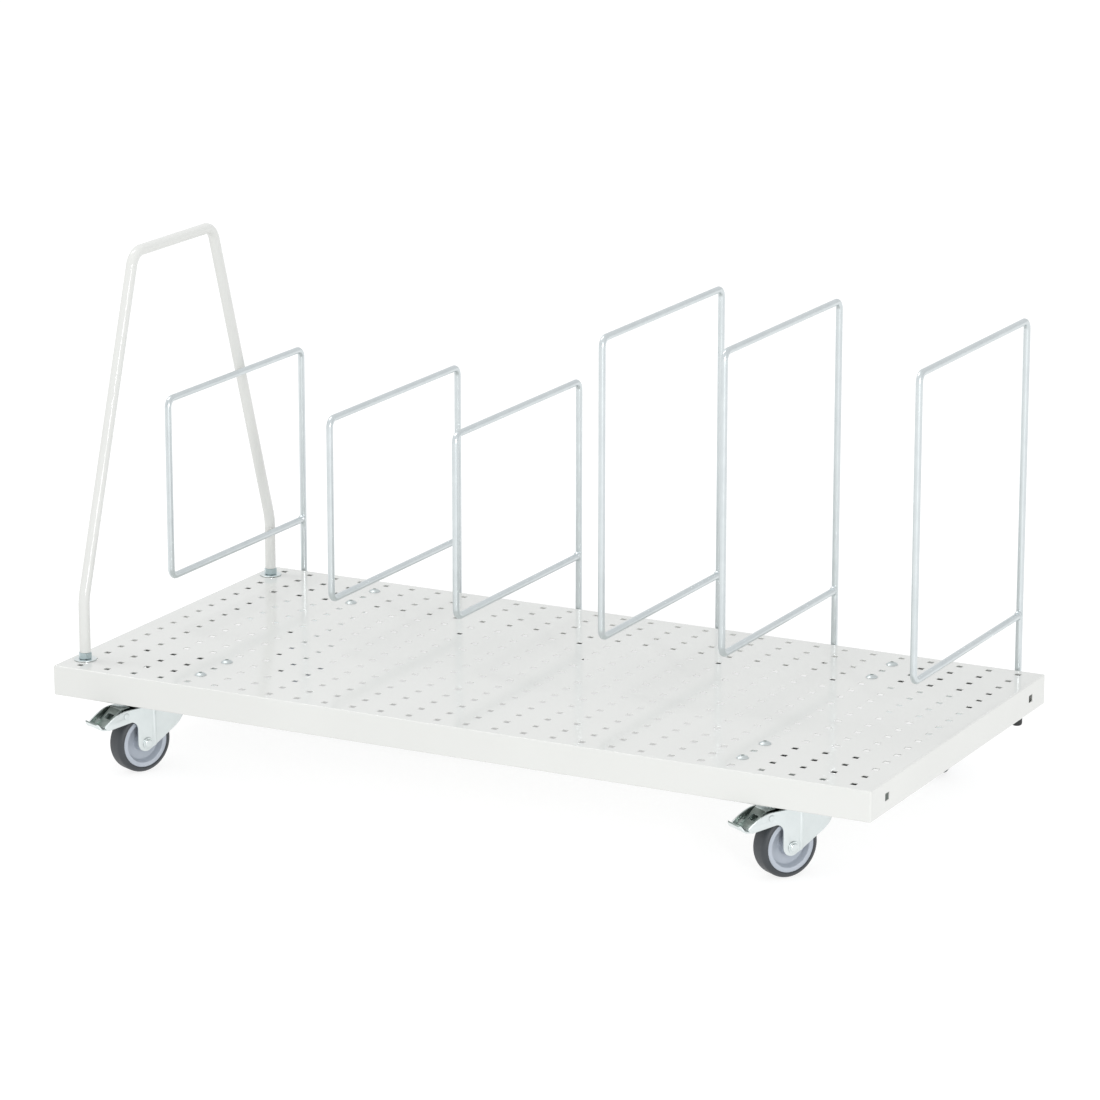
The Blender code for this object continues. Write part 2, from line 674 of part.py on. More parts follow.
def both_halves(half):
    """A closed outline from a half that ends on the middle line."""
    return half + [(x, -y) for x, y in reversed(half[:-1])]


def fork_side(braked):
    """The cheek's outline along the trail, from the axle up to the crown."""
    axle = WHEEL_RADIUS
    top = CROWN_TOP - FORK_CROWN / 2
    lobe = arc((TRAIL + FORK_BACK - FORK_LOBE, axle + FORK_LOBE_RISE), FORK_LOBE, 235, 360, 5)
    nose = TRAIL - FORK_NOSE - FORK_WALL
    outline = [(nose, top), (nose, axle + FORK_CHIN_RISE)] + lobe
    if braked:
        arch = (TRAIL + FORK_BACK + FORK_ARCH_RADIUS, axle + FORK_ARCH_RISE)
        tip = TRAIL + FORK_ARM_REACH
        outline += arc(arch, FORK_ARCH_RADIUS, 180, 90, 4)
        tip_rise = FORK_ARM_RISE + FORK_ARM_DEPTH
        drop = top - axle - tip_rise
        outline += [(tip - FORK_ARM_DEPTH, axle + FORK_ARM_RISE), (tip, axle + tip_rise)]
        outline += [(tip - FORK_ARM_SLOPE * k / 4, top - drop * (1 - k / 4) ** 1.7) for k in (1, 2, 3, 4)]
    else:
        outline.append((TRAIL + FORK_BACK, top))
    return outline


def fork_mesh(braked):
    """A pressed fork: two cheeks that meet in a rounded nose, under a flat crown."""
    walls = plate("walls", both_halves(fork_plan(0.0)), 0.0, CASTOR_HEIGHT)
    room = plate("room", both_halves([(TRAIL + FORK_ARM_REACH + 2 * FORK_WALL, FORK_INNER)]
                                     + fork_plan(FORK_WALL)[1:]), -SHEET, CASTOR_HEIGHT + SHEET)
    walls = combine(walls, room, "DIFFERENCE")
    holes = [circle(around(AXLE_RADIUS + GAP, 8), 8, (TRAIL, WHEEL_RADIUS))]
    if braked:
        holes.append(circle(around(PIN_RADIUS + GAP, 6), 6, (TRAIL + PIVOT_REACH, WHEEL_RADIUS + PIVOT_RISE)))
    side = stand(plate("side", fork_side(braked), -2 * FORK_OUTER, 2 * FORK_OUTER, holes))
    walls = combine(walls, side, "INTERSECT")
    crown = [(TRAIL + CROWN_BACK, FORK_OUTER + CROWN_OVERHANG)] + fork_plan(-CROWN_OVERHANG)[1:]
    crown = plate("crown", both_halves(crown), CROWN_UNDER, CROWN_TOP,
                  [circle(around(KINGPIN_RADIUS + GAP, 8), 8)])
    return take_mesh(combine(walls, crown, "UNION"))


def rim_mesh():
    """A moulded rim with a raised ring, a dished web and a long hub, about its own axle."""
    ring = RIM_RADIUS - RIM_RING_WIDTH
    hub_half = FORK_INNER - GAP
    bore = around(AXLE_RADIUS + GAP, WHEEL_SIDES)
    half = [(bore, hub_half), (HUB_RADIUS - 0.002, hub_half), (HUB_RADIUS + 0.002, RIM_WEB_HALF),
            (HUB_RADIUS + 0.004, RIM_WEB_HALF), (ring - 0.002, RIM_DISH), (ring, RIM_HALF_WIDTH),
            (around(RIM_RADIUS, WHEEL_SIDES), RIM_HALF_WIDTH)]
    profile = half + [(r, -h) for r, h in reversed(half)]
    return take_mesh(lay_along_y(turned("rim", profile, WHEEL_SIDES, closed=True)))


def tyre_mesh():
    """A rounded tread on a cylindrical seat, about its own axle."""
    tread = around(WHEEL_RADIUS, WHEEL_SIDES)
    seat = around(RIM_RADIUS + GAP, WHEEL_SIDES)
    half = [(seat, RIM_HALF_WIDTH), (seat + TYRE_CHEEK * 0.4, TYRE_HALF_WIDTH),
            (seat + TYRE_CHEEK, TYRE_HALF_WIDTH), (tread - TYRE_SHOULDER * 0.22, TYRE_HALF_WIDTH - TYRE_SHOULDER * 0.45),
            (tread, TYRE_HALF_WIDTH - TYRE_SHOULDER)]
    profile = half + [(r, -h) for r, h in reversed(half)]
    return take_mesh(lay_along_y(turned("tyre", profile, WHEEL_SIDES, closed=True)))


def pedal_mesh():
    """A bent pedal with its boss, web, shoe arm and pivot pin, about the pin."""
    half = FORK_INNER - PEDAL_SIDE_CLEARANCE
    low = Vector(PEDAL_PAD_LOW) - Vector((PIVOT_REACH, PIVOT_RISE))
    high = Vector(PEDAL_PAD_HIGH) - Vector((PIVOT_REACH, PIVOT_RISE))
    lip = low + Vector((PEDAL_LIP_REACH, PEDAL_LIP_RISE))
    knee = low + Vector((PEDAL_KNEE_REACH, PEDAL_KNEE_RISE))
    end = high - Vector((PEDAL_TOP, 0.0))
    slope = (high - low).normalized()
    crown = [high - slope * PEDAL_TOP_ROUND, high - Vector((PEDAL_TOP_ROUND, 0.0))]
    pedal = stand(plate("pedal", bent_sheet([lip, knee, low, *crown, end], PEDAL_SHEET), -half, half))
    edge = half + GAP
    tip = lip.x + PEDAL_SHEET
    plan = [(end.x - GAP, edge), (end.x - GAP, -edge)]
    plan += arc((tip - PEDAL_LIP_ROUND, PEDAL_LIP_ROUND - edge), PEDAL_LIP_ROUND, -90, 0, 3)
    plan += arc((tip - PEDAL_LIP_ROUND, edge - PEDAL_LIP_ROUND), PEDAL_LIP_ROUND, 0, 90, 3)
    reach = PIVOT_RISE + PEDAL_SHEET
    pedal = combine(pedal, plate("plan", plan, -reach, reach), "INTERSECT")
    inward = Vector((-slope.y, slope.x))
    foot = -inward * (low.dot(inward) * -1.0 - PEDAL_SHEET / 2)
    across = slope * (PEDAL_WEB / 2)
    web = stand(plate("web", [tuple(p) for p in (across, -across, foot - across, foot + across)],
                      -half * 0.8, half * 0.8))
    boss = stand(plate("boss", circle(PEDAL_BOSS, 10), -half * 0.9, half * 0.9))
    arm = SHOE_THICKNESS / 2
    lean = Vector((0.003, -SHOE_LENGTH))
    shoe = stand(plate("shoe", [(-arm, 0.0), tuple(lean - Vector((arm, 0.0))), tuple(lean + Vector((arm, 0.0))),
                                (arm, 0.0)], -half * 0.7, half * 0.7))
    boss = combine(combine(boss, web, "UNION"), shoe, "UNION")
    pedal = combine(pedal, boss, "UNION")
    pedal = combine(pedal, rivet("pin", PIN_RADIUS, PIN_HEAD_RADIUS, PIN_HEAD, FORK_OUTER + GAP, 6), "UNION")
    middle = low + (high - low) * 0.42
    slot = boxes("slot", (PEDAL_SLOT_WIDTH, PEDAL_SLOT_LENGTH, 4 * PEDAL_SHEET), [(0.0, 0.0, 0.0)])
    slot.data.transform(Matrix.Rotation(math.atan2(slope.y, -slope.x), 4, "Y"))
    slot.data.transform(Matrix.Translation((middle.x, 0.0, middle.y)))
    return take_mesh(combine(pedal, slot, "DIFFERENCE"))


def castors():
    kingpin = kingpin_mesh()
    forks = {braked: fork_mesh(braked) for braked in (True, False)}
    axle = take_mesh(rivet("axle", AXLE_RADIUS, AXLE_HEAD_RADIUS, AXLE_HEAD, FORK_OUTER + GAP, 10))
    rim = rim_mesh()
    tyre = tyre_mesh()
    pedal = pedal_mesh()
    for number, ((end, side), turn) in enumerate(zip(CORNERS, CASTOR_TURNS), 1):
        braked = side < 0
        x = end * CASTOR_X
        y = side * CASTOR_Y
        piece(f"castor_{number}_kingpin", kingpin, ZINC, footprint, (x, y, 0.0))
        swivel = pivot(f"castor_{number}_swivel_axis", footprint, (x, y, 0.0), math.radians(turn))
        piece(f"castor_{number}_fork", forks[braked], PRESSED_ZINC, swivel)
        spin = pivot(f"castor_{number}_wheel_axis", swivel, (TRAIL, 0.0, WHEEL_RADIUS))
        piece(f"castor_{number}_axle", axle, ZINC, spin)
        piece(f"castor_{number}_rim", rim, RIM_PLASTIC, spin)
        piece(f"castor_{number}_tyre", tyre, TYRE_RUBBER, spin)
        if braked:
            press = pivot(f"castor_{number}_brake_axis", swivel, (TRAIL + PIVOT_REACH, 0.0, WHEEL_RADIUS + PIVOT_RISE))
            piece(f"castor_{number}_brake_pedal", pedal, PRESSED_ZINC, press)


castors()


def centre_footprint():
    """Set the origin at the middle of the rack's box, on the floor."""
    bpy.context.view_layer.update()
    corners = [obj.matrix_world @ Vector(corner) for obj in rack.objects if obj.type == "MESH"
               for corner in obj.bound_box]
    for axis in (0, 1):
        places = [corner[axis] for corner in corners]
        footprint.location[axis] = -(min(places) + max(places)) / 2
    bpy.context.view_layer.update()


centre_footprint()
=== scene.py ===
"""Looks of a mobile carton rack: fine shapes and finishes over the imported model.

Metres, +Z up, in the model's own frame: +X runs away from the push handle and +Y to the rear,
where the wire dividers plug in.
"""
import json
import math

import bmesh
import bpy
from mathutils import Matrix, Vector


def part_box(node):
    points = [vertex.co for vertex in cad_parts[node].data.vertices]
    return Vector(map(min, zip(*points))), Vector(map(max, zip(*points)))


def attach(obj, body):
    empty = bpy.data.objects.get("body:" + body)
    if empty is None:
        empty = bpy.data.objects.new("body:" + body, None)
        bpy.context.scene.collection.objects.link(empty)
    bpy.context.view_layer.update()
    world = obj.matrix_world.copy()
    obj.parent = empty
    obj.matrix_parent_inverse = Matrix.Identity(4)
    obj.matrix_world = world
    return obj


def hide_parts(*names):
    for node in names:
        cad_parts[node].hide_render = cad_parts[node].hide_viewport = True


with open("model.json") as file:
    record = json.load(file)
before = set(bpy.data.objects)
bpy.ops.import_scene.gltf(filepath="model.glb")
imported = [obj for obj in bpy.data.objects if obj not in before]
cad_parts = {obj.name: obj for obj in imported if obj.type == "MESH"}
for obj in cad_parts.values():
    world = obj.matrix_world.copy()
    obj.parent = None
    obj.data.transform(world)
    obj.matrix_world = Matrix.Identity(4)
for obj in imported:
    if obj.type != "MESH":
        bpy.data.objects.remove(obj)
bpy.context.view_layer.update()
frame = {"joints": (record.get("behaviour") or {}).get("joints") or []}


# Deck tray
# One sheet of 1.25 mm steel, punched with a grid of square holes, folded down on all four sides and in
# again to a narrow lip. It is powder coated light grey, so the folds are round and catch the light.
DECK_LOW, DECK_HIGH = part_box("deck_tray")
DECK_TOP = DECK_HIGH.z
DECK_SIZE = DECK_HIGH - DECK_LOW
DECK_MIDDLE = (DECK_HIGH + DECK_LOW) / 2
SHEET = 0.00125
HOLE_PITCH = (0.050, 0.040)
HOLE = 0.010
EDGE_MARGIN = 0.020
FOLD_RADIUS = 0.0026
LIP_REACH = 0.01625
END_HOLE = (0.015, 0.012)
END_HOLE_INSET = 0.060
END_HOLE_DROP = 0.0245
PEG_HOLE = 0.010
PEG_SPACING = 0.034
PEG_DROP = 0.030
STUD_RADIUS = 0.006
GAP = 0.0003
NEAR = 0.0005
EPS = 0.00001


def alone(piece=None):
    """Leave one piece, or none, selected and active."""
    bpy.ops.object.select_all(action="DESELECT")
    if piece:
        piece.select_set(True)
        bpy.context.view_layer.objects.active = piece


def edit(piece):
    """Open one piece in edit mode with all of it selected."""
    alone(piece)
    bpy.ops.object.mode_set(mode="EDIT")
    bpy.ops.mesh.select_all(action="SELECT")


def done():
    """Leave edit mode."""
    bpy.ops.object.mode_set(mode="OBJECT")


def pick(piece, kind, test):
    """In edit mode, select only the corners, edges or faces whose middle passes the test."""
    bpy.ops.mesh.select_mode(type=kind)
    bpy.ops.mesh.select_all(action="DESELECT")
    shape = bmesh.from_edit_mesh(piece.data)
    for element in {"VERT": shape.verts, "EDGE": shape.edges, "FACE": shape.faces}[kind]:
        corners = [element] if kind == "VERT" else element.verts
        middle = sum((corner.co for corner in corners), Vector()) / len(corners)
        element.select_set(test(middle))
    shape.select_flush_mode()
    bmesh.update_edit_mesh(piece.data)


def shape_with(piece, kind, **settings):
    """Put a modifier on a piece, set it and apply it."""
    modifier = piece.modifiers.new(kind.lower(), kind)
    for name, value in settings.items():
        setattr(modifier, name, value)
    alone(piece)
    bpy.ops.object.modifier_apply(modifier=modifier.name)


def combine(piece, tool, operation):
    """Boolean of a piece with a tool, which is used up."""
    shape_with(piece, "BOOLEAN", object=tool, operation=operation)
    bpy.data.objects.remove(tool)


def block(name, low, high):
    """A box between two corners."""
    low = Vector(low)
    high = Vector(high)
    alone()
    bpy.ops.mesh.primitive_cube_add(size=1.0, location=(low + high) / 2, scale=high - low)
    bpy.ops.object.transform_apply()
    made = bpy.context.object
    made.name = name
    return made


def deck_sheet():
    """The punched and folded sheet, from one cell of the hole grid."""
    counts = [int((DECK_SIZE[a] - 2 * EDGE_MARGIN) / HOLE_PITCH[a]) + 1 for a in (0, 1)]
    first = [DECK_MIDDLE[a] - (counts[a] - 1) * HOLE_PITCH[a] / 2 for a in (0, 1)]
    alone()
    bpy.ops.mesh.primitive_plane_add(size=1.0, location=(*first, DECK_TOP))
    deck = bpy.context.object
    deck.name = "deck_sheet"
    deck.scale = (*HOLE_PITCH, 1.0)
    bpy.ops.object.transform_apply()
    edit(deck)
    for axis in (Vector((1, 0, 0)), Vector((0, 1, 0))):
        for side in (-1, 1):
            bpy.ops.mesh.select_all(action="SELECT")
            bpy.ops.mesh.bisect(plane_co=Vector((*first, DECK_TOP)) + axis * side * HOLE / 2, plane_no=axis)
    pick(deck, "FACE", lambda p: abs(p.x - first[0]) < EPS and abs(p.y - first[1]) < EPS)
    bpy.ops.mesh.delete(type="FACE")
    done()
    for axis, (count, pitch) in enumerate(zip(counts, HOLE_PITCH)):
        step = [0.0, 0.0, 0.0]
        step[axis] = pitch
        shape_with(deck, "ARRAY", count=count, use_relative_offset=False, use_constant_offset=True,
                   constant_offset_displace=step, use_merge_vertices=True, merge_threshold=0.0001)
    edit(deck)
    for axis in (0, 1):
        for side, edge in ((-1, DECK_LOW[axis]), (1, DECK_HIGH[axis])):
            rim = DECK_MIDDLE[axis] + side * counts[axis] * HOLE_PITCH[axis] / 2
            step = [0.0, 0.0, 0.0]
            step[axis] = edge - rim
            pick(deck, "VERT", lambda p: abs(p[axis] - rim) < NEAR)
            bpy.ops.transform.translate(value=step)

    def on_rim(p, axis):
        return min(abs(p[axis] - DECK_LOW[axis]), abs(p[axis] - DECK_HIGH[axis])) < EPS

    pick(deck, "EDGE", lambda p: on_rim(p, 0) or on_rim(p, 1))
    bpy.ops.mesh.extrude_region_move(TRANSFORM_OT_translate={"value": (0, 0, -DECK_SIZE.z)})
    bpy.ops.mesh.extrude_region_move()
    inward = [1 - 2 * LIP_REACH / DECK_SIZE[a] for a in (0, 1)]
    bpy.ops.transform.resize(value=(*inward, 1.0), center_override=(*DECK_MIDDLE.xy, DECK_LOW.z))
    pick(deck, "EDGE", lambda p: (on_rim(p, 0) and on_rim(p, 1))
         or ((on_rim(p, 0) or on_rim(p, 1)) and on_rim(p, 2)))
    bpy.ops.mesh.bevel(offset=FOLD_RADIUS, segments=4)
    bpy.ops.mesh.select_all(action="SELECT")
    bpy.ops.mesh.normals_make_consistent(inside=False)
    done()
    shape_with(deck, "SOLIDIFY", thickness=SHEET, offset=-1.0, use_even_offset=True)
    return deck


def weld(pieces):
    """Join pieces into the first of them."""
    alone(pieces[0])
    for other in pieces:
        other.select_set(True)
    bpy.ops.object.join()
    return pieces[0]


deck = deck_sheet()
punches = []
for end in (-1, 1):
    for side in (-1, 1):
        middle = DECK_MIDDLE + Vector((end * DECK_SIZE.x / 2, side * (DECK_SIZE.y / 2 - END_HOLE_INSET), 0.0))
        middle.z = DECK_TOP - END_HOLE_DROP
        half = Vector((4 * SHEET, END_HOLE[0] / 2, END_HOLE[1] / 2))
        punches.append(block("end_punch", middle - half, middle + half))
for number in range(1, 7):
    low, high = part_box(f"divider_{number}")
    for side in (-1, 1):
        middle = Vector(((low.x + high.x + side * PEG_SPACING) / 2, DECK_HIGH.y, DECK_TOP - PEG_DROP))
        half = Vector((PEG_HOLE / 2, 4 * SHEET, PEG_HOLE / 2))
        punches.append(block("peg_punch", middle - half, middle + half))
for number in (1, 2):
    low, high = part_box(f"handle_nut_{number}")
    middle = (low + high) / 2
    middle.z = DECK_TOP
    bpy.ops.mesh.primitive_cylinder_add(vertices=32, radius=STUD_RADIUS + GAP, depth=8 * SHEET,
                                        location=middle)
    bpy.ops.object.transform_apply()
    punches.append(bpy.context.object)
combine(deck, weld(punches), "DIFFERENCE")


def linear(hex_colour):
    """Linear colour of an sRGB hex value."""
    channels = [int(hex_colour[i:i + 2], 16) / 255 for i in (0, 2, 4)]
    return (*[c / 12.92 if c <= 0.04045 else ((c + 0.055) / 1.055) ** 2.4 for c in channels], 1.0)


def add(tree, kind, settings, inputs):
    """Add a node, set its properties, and set or link its inputs."""
    made = tree.nodes.new(kind)
    for name, value in settings.items():
        setattr(made, name, value)
    for name, value in inputs.items():
        if isinstance(value, bpy.types.NodeSocket):
            tree.links.new(value, made.inputs[name])
        else:
            made.inputs[name].default_value = value
    return made


COAT_CLOUD = 0.18
ORANGE_PEEL = 0.004


def powder_coat():
    """Light grey powder coat on steel: a smooth, fairly glossy film, baked on, with a faint orange peel
    that only softens what it mirrors, and a slight cloud in its shade."""
    made = bpy.data.materials.new("powder coat, light grey, semi-gloss")
    made.use_nodes = True
    tree = made.node_tree
    shader = tree.nodes["Principled BSDF"]
    place = add(tree, "ShaderNodeTexCoord", {}, {}).outputs["Object"]
    cloud = add(tree, "ShaderNodeTexNoise", {}, {"Vector": place, "Scale": 1 / COAT_CLOUD, "Detail": 3.0})
    shade = add(tree, "ShaderNodeMixRGB", {}, {"Fac": cloud.outputs["Fac"], "Color1": linear("D2D3D0"),
                                               "Color2": linear("D9DAD7")})
    peel = add(tree, "ShaderNodeTexNoise", {}, {"Vector": place, "Scale": 1 / ORANGE_PEEL, "Detail": 2.0})
    bump = add(tree, "ShaderNodeBump", {}, {"Height": peel.outputs["Fac"], "Strength": 0.02,
                                            "Distance": 0.0003})
    gloss = add(tree, "ShaderNodeMapRange", {}, {"Value": cloud.outputs["Fac"], "To Min": 0.09,
                                                 "To Max": 0.14})
    tree.links.new(shade.outputs["Color"], shader.inputs["Base Color"])
    tree.links.new(gloss.outputs["Result"], shader.inputs["Roughness"])
    tree.links.new(bump.outputs["Normal"], shader.inputs["Normal"])
    shader.inputs["IOR"].default_value = 1.52
    return made


def fit(piece, finish, slot, body, *nodes):
    """Finish a piece: its shading, a material where it has none, its body and its nodes. The slot is not
    used.
    """
    alone(piece)
    bpy.ops.object.shade_smooth_by_angle(angle=math.radians(32))
    if not piece.data.materials:
        piece.data.materials.append(finish)
    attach(piece, body)
    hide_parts(*nodes)


POWDER_COAT = powder_coat()
fit(deck, POWDER_COAT, "powder_coat", "frame", "deck_tray")
# Flat faces keep their own normals right up to the folds, so the deck mirrors straight lines.
shape_with(deck, "WEIGHTED_NORMAL", keep_sharp=True, weight=100, thresh=EPS)


# Push handle
# A steel tube bent to a tapered hoop and powder coated with the deck. A stud in each end screws into a
# weld nut under the deck; a broad washer and a zinc plated nut lock it from above.
HANDLE_RADIUS = 0.009
HANDLE_LOW, HANDLE_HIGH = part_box("push_handle")
HANDLE_X = (HANDLE_LOW.x + HANDLE_HIGH.x) / 2
HANDLE_FEET = (HANDLE_LOW.y + HANDLE_RADIUS, HANDLE_HIGH.y - HANDLE_RADIUS)
HANDLE_UPRIGHT = 0.100
HANDLE_TOP_HALF = 0.120
LOWER_BEND = 0.080
TOP_BEND = 0.030
STUD_CHAMFER = 0.001
WELD_NUT_FLATS = 0.019
WELD_NUT = 0.010
NUT_CHAMFER_SHARE = 0.58
NUT_FACE_SHARE = 0.2
NUT_SINK_SHARE = 0.14
NUT_TURN = math.radians(12)
WASHER_EDGE = 0.0006
LAP = 0.001


def bent_bar(name, radius, sides, foot, toward, moves):
    """A round bar that starts upwards. Each move is a straight run and then a bend towards +Y or -Y,
    given as run, bend radius and bend angle in degrees."""
    alone()
    bpy.ops.mesh.primitive_circle_add(vertices=sides, radius=radius, location=foot)
    bpy.ops.object.transform_apply()
    bar = bpy.context.object
    bar.name = name
    edit(bar)
    place = Vector(foot)
    lean = 0.0
    for run, bend, angle in moves:
        ahead = Vector((0.0, toward * math.sin(lean), math.cos(lean)))
        bpy.ops.mesh.extrude_region_move(TRANSFORM_OT_translate={"value": ahead * run})
        place += ahead * run
        if angle:
            centre = place + Vector((0.0, toward * math.cos(lean), -math.sin(lean))) * bend
            bpy.ops.mesh.spin(steps=round(angle / 6) + 2, angle=math.radians(angle), center=centre,
                              axis=(toward, 0.0, 0.0))
            lean += math.radians(angle)
            place = centre - Vector((0.0, toward * math.cos(lean), -math.sin(lean))) * bend
    bpy.ops.mesh.select_all(action="SELECT")
    bpy.ops.mesh.fill_holes(sides=0)
    bpy.ops.mesh.select_all(action="SELECT")
    bpy.ops.mesh.normals_make_consistent(inside=False)
    done()
    return bar


def prism(name, outline, low, high):
    """A flat outline, set on the corners of a filled circle and extruded along Z from low to high."""
    alone()
    bpy.ops.mesh.primitive_circle_add(vertices=len(outline), fill_type="NGON")
    made = bpy.context.object
    made.name = name
    for corner, (x, y) in zip(made.data.vertices, outline):
        corner.co = (x, y, low)
    edit(made)
    bpy.ops.mesh.extrude_region_move(TRANSFORM_OT_translate={"value": (0.0, 0.0, high - low)})
    bpy.ops.mesh.select_all(action="SELECT")
    bpy.ops.mesh.normals_make_consistent(inside=False)
    done()
    return made


def circle(radius, sides, centre=(0.0, 0.0)):
    """Corners of a regular polygon."""
    angles = [2 * math.pi * k / sides for k in range(sides)]
    return [(centre[0] + radius * math.cos(a), centre[1] + radius * math.sin(a)) for a in angles]


def lathe(name, profile, sides):
    """A closed profile of radius and height points, spun about Z."""
    alone()
    bpy.ops.mesh.primitive_circle_add(vertices=len(profile))
    made = bpy.context.object
    made.name = name
    for corner, (radius, height) in zip(made.data.vertices, profile):
        corner.co = (radius, 0.0, height)
    edit(made)
    bpy.ops.mesh.spin(steps=sides, angle=2 * math.pi, center=(0.0, 0.0, 0.0), axis=(0.0, 0.0, 1.0))
    bpy.ops.mesh.select_all(action="SELECT")
    bpy.ops.mesh.remove_doubles(threshold=0.000005)
    bpy.ops.mesh.delete_loose(use_faces=False)
    bpy.ops.mesh.select_all(action="SELECT")
    bpy.ops.mesh.normals_make_consistent(inside=False)
    done()
    return made


def hex_nut(name, flats, height, bore):
    """A hexagon nut on Z = 0: its corners are turned off at both faces, and its bore has a countersink."""
    corner = flats / 2 / math.cos(math.pi / 6)
    nut = prism(name, circle(corner, 6), 0.0, height)
    chamfer = (corner - flats / 2) * NUT_CHAMFER_SHARE
    flat = flats / 2 - chamfer * NUT_FACE_SHARE
    stock = lathe("stock", [(0.0, height), (flat, height), (corner + EPS, height - chamfer),
                            (corner + EPS, chamfer), (flat, 0.0), (0.0, 0.0)], 48)
    combine(nut, stock, "INTERSECT")
    sink = bore * NUT_SINK_SHARE
    tap = lathe("tap", [(0.0, height + sink), (bore + 2 * sink, height + sink), (bore, height - sink),
                        (bore, sink), (bore + 2 * sink, -sink), (0.0, -sink)], 32)
    combine(nut, tap, "DIFFERENCE")
    return nut


def place_copy(piece, name, matrix):
    """A copy of a piece with a mesh of its own, set in place."""
    made = bpy.data.objects.new(name, piece.data.copy())
    bpy.context.scene.collection.objects.link(made)
    made.data.transform(matrix)
    return made


NUT_LOW, NUT_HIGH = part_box("handle_nut_1")
WASHER_LOW, WASHER_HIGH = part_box("handle_washer_1")
hoop_foot = (HANDLE_X, HANDLE_FEET[0], NUT_HIGH.z + GAP)
rise = HANDLE_HIGH.z - HANDLE_RADIUS - DECK_TOP - HANDLE_UPRIGHT
draw_in = (HANDLE_FEET[1] - HANDLE_FEET[0]) / 2 - HANDLE_TOP_HALF
taper = math.degrees(math.atan2(draw_in, rise))
lower_tangent = LOWER_BEND * math.tan(math.radians(taper) / 2)
top_tangent = TOP_BEND * math.tan(math.radians(90 - taper) / 2)
upright = DECK_TOP + HANDLE_UPRIGHT - lower_tangent - hoop_foot[2]
slant = math.hypot(rise, draw_in) - lower_tangent - top_tangent
handle = bent_bar("handle_tube", HANDLE_RADIUS, 32, hoop_foot, 1, [
    (upright, LOWER_BEND, taper),
    (slant, TOP_BEND, 90 - taper),
    (2 * HANDLE_TOP_HALF - 2 * top_tangent, TOP_BEND, 90 - taper),
    (slant, LOWER_BEND, taper),
    (upright, 0.0, 0.0),
])
stud_top = hoop_foot[2] + 2 * LAP
for foot_y in HANDLE_FEET:
    thread = lathe("stud", [(0.0, HANDLE_LOW.z), (STUD_RADIUS - STUD_CHAMFER, HANDLE_LOW.z),
                            (STUD_RADIUS, HANDLE_LOW.z + STUD_CHAMFER), (STUD_RADIUS, stud_top),
                            (0.0, stud_top)], 24)
    thread.data.transform(Matrix.Translation((HANDLE_X, foot_y, 0.0)))
    combine(handle, thread, "UNION")
fit(handle, POWDER_COAT, "powder_coat", "frame", "push_handle")


BATH_CLOUD = 0.025
DRAWING_MARK = 0.0012


def zinc_plate(name, light, dark, roughness):
    """Bright zinc plate on steel: a thin metal film with a cool tint, slightly uneven in shade and gloss
    from the bath, with fine drawing marks under it."""
    made = bpy.data.materials.new(name)
    made.use_nodes = True
    tree = made.node_tree
    shader = tree.nodes["Principled BSDF"]
    place = add(tree, "ShaderNodeTexCoord", {}, {}).outputs["Object"]
    bath = add(tree, "ShaderNodeTexNoise", {}, {"Vector": place, "Scale": 1 / BATH_CLOUD, "Detail": 4.0})
    shade = add(tree, "ShaderNodeMixRGB", {}, {"Fac": bath.outputs["Fac"], "Color1": linear(dark),
                                               "Color2": linear(light)})
    marks = add(tree, "ShaderNodeTexNoise", {}, {"Vector": place, "Scale": 1 / DRAWING_MARK, "Detail": 2.0})
    bump = add(tree, "ShaderNodeBump", {}, {"Height": marks.outputs["Fac"], "Strength": 0.04,
                                            "Distance": 0.0002})
    gloss = add(tree, "ShaderNodeMapRange", {}, {"Value": bath.outputs["Fac"], "To Min": roughness - 0.05,
                                                 "To Max": roughness + 0.05})
    tree.links.new(shade.outputs["Color"], shader.inputs["Base Color"])
    tree.links.new(gloss.outputs["Result"], shader.inputs["Roughness"])
    tree.links.new(bump.outputs["Normal"], shader.inputs["Normal"])
    shader.inputs["Metallic"].default_value = 1.0
    return made


ZINC = zinc_plate("bright zinc plate", "DAE0E1", "C9D0D2", 0.3)
PRESSED_ZINC = zinc_plate("zinc plated pressed steel", "E4EAEA", "D6DDDD", 0.3)
# A darker zinc that paints shade on faces in recesses and hollows, not a plating of its own.
PAINTED_SHADE_ZINC = zinc_plate("zinc plate, darkened as painted shade", "9AA4A0", "78827E", 0.3)
BLUE_ZINC = zinc_plate("zinc plate, blue passivated", "C6D3D5", "AEBEC1", 0.3)
nut = hex_nut("nut", WELD_NUT_FLATS, NUT_HIGH.z - NUT_LOW.z, STUD_RADIUS + GAP)
washer_radius = (WASHER_HIGH.x - WASHER_LOW.x) / 2
washer_height = WASHER_HIGH.z - WASHER_LOW.z
washer_bore = STUD_RADIUS + 2 * GAP
washer = lathe("washer", [(washer_bore, washer_height), (washer_radius - WASHER_EDGE, washer_height),
                          (washer_radius, washer_height - WASHER_EDGE), (washer_radius, WASHER_EDGE),
                          (washer_radius - WASHER_EDGE, 0.0), (washer_bore, 0.0)], 64)
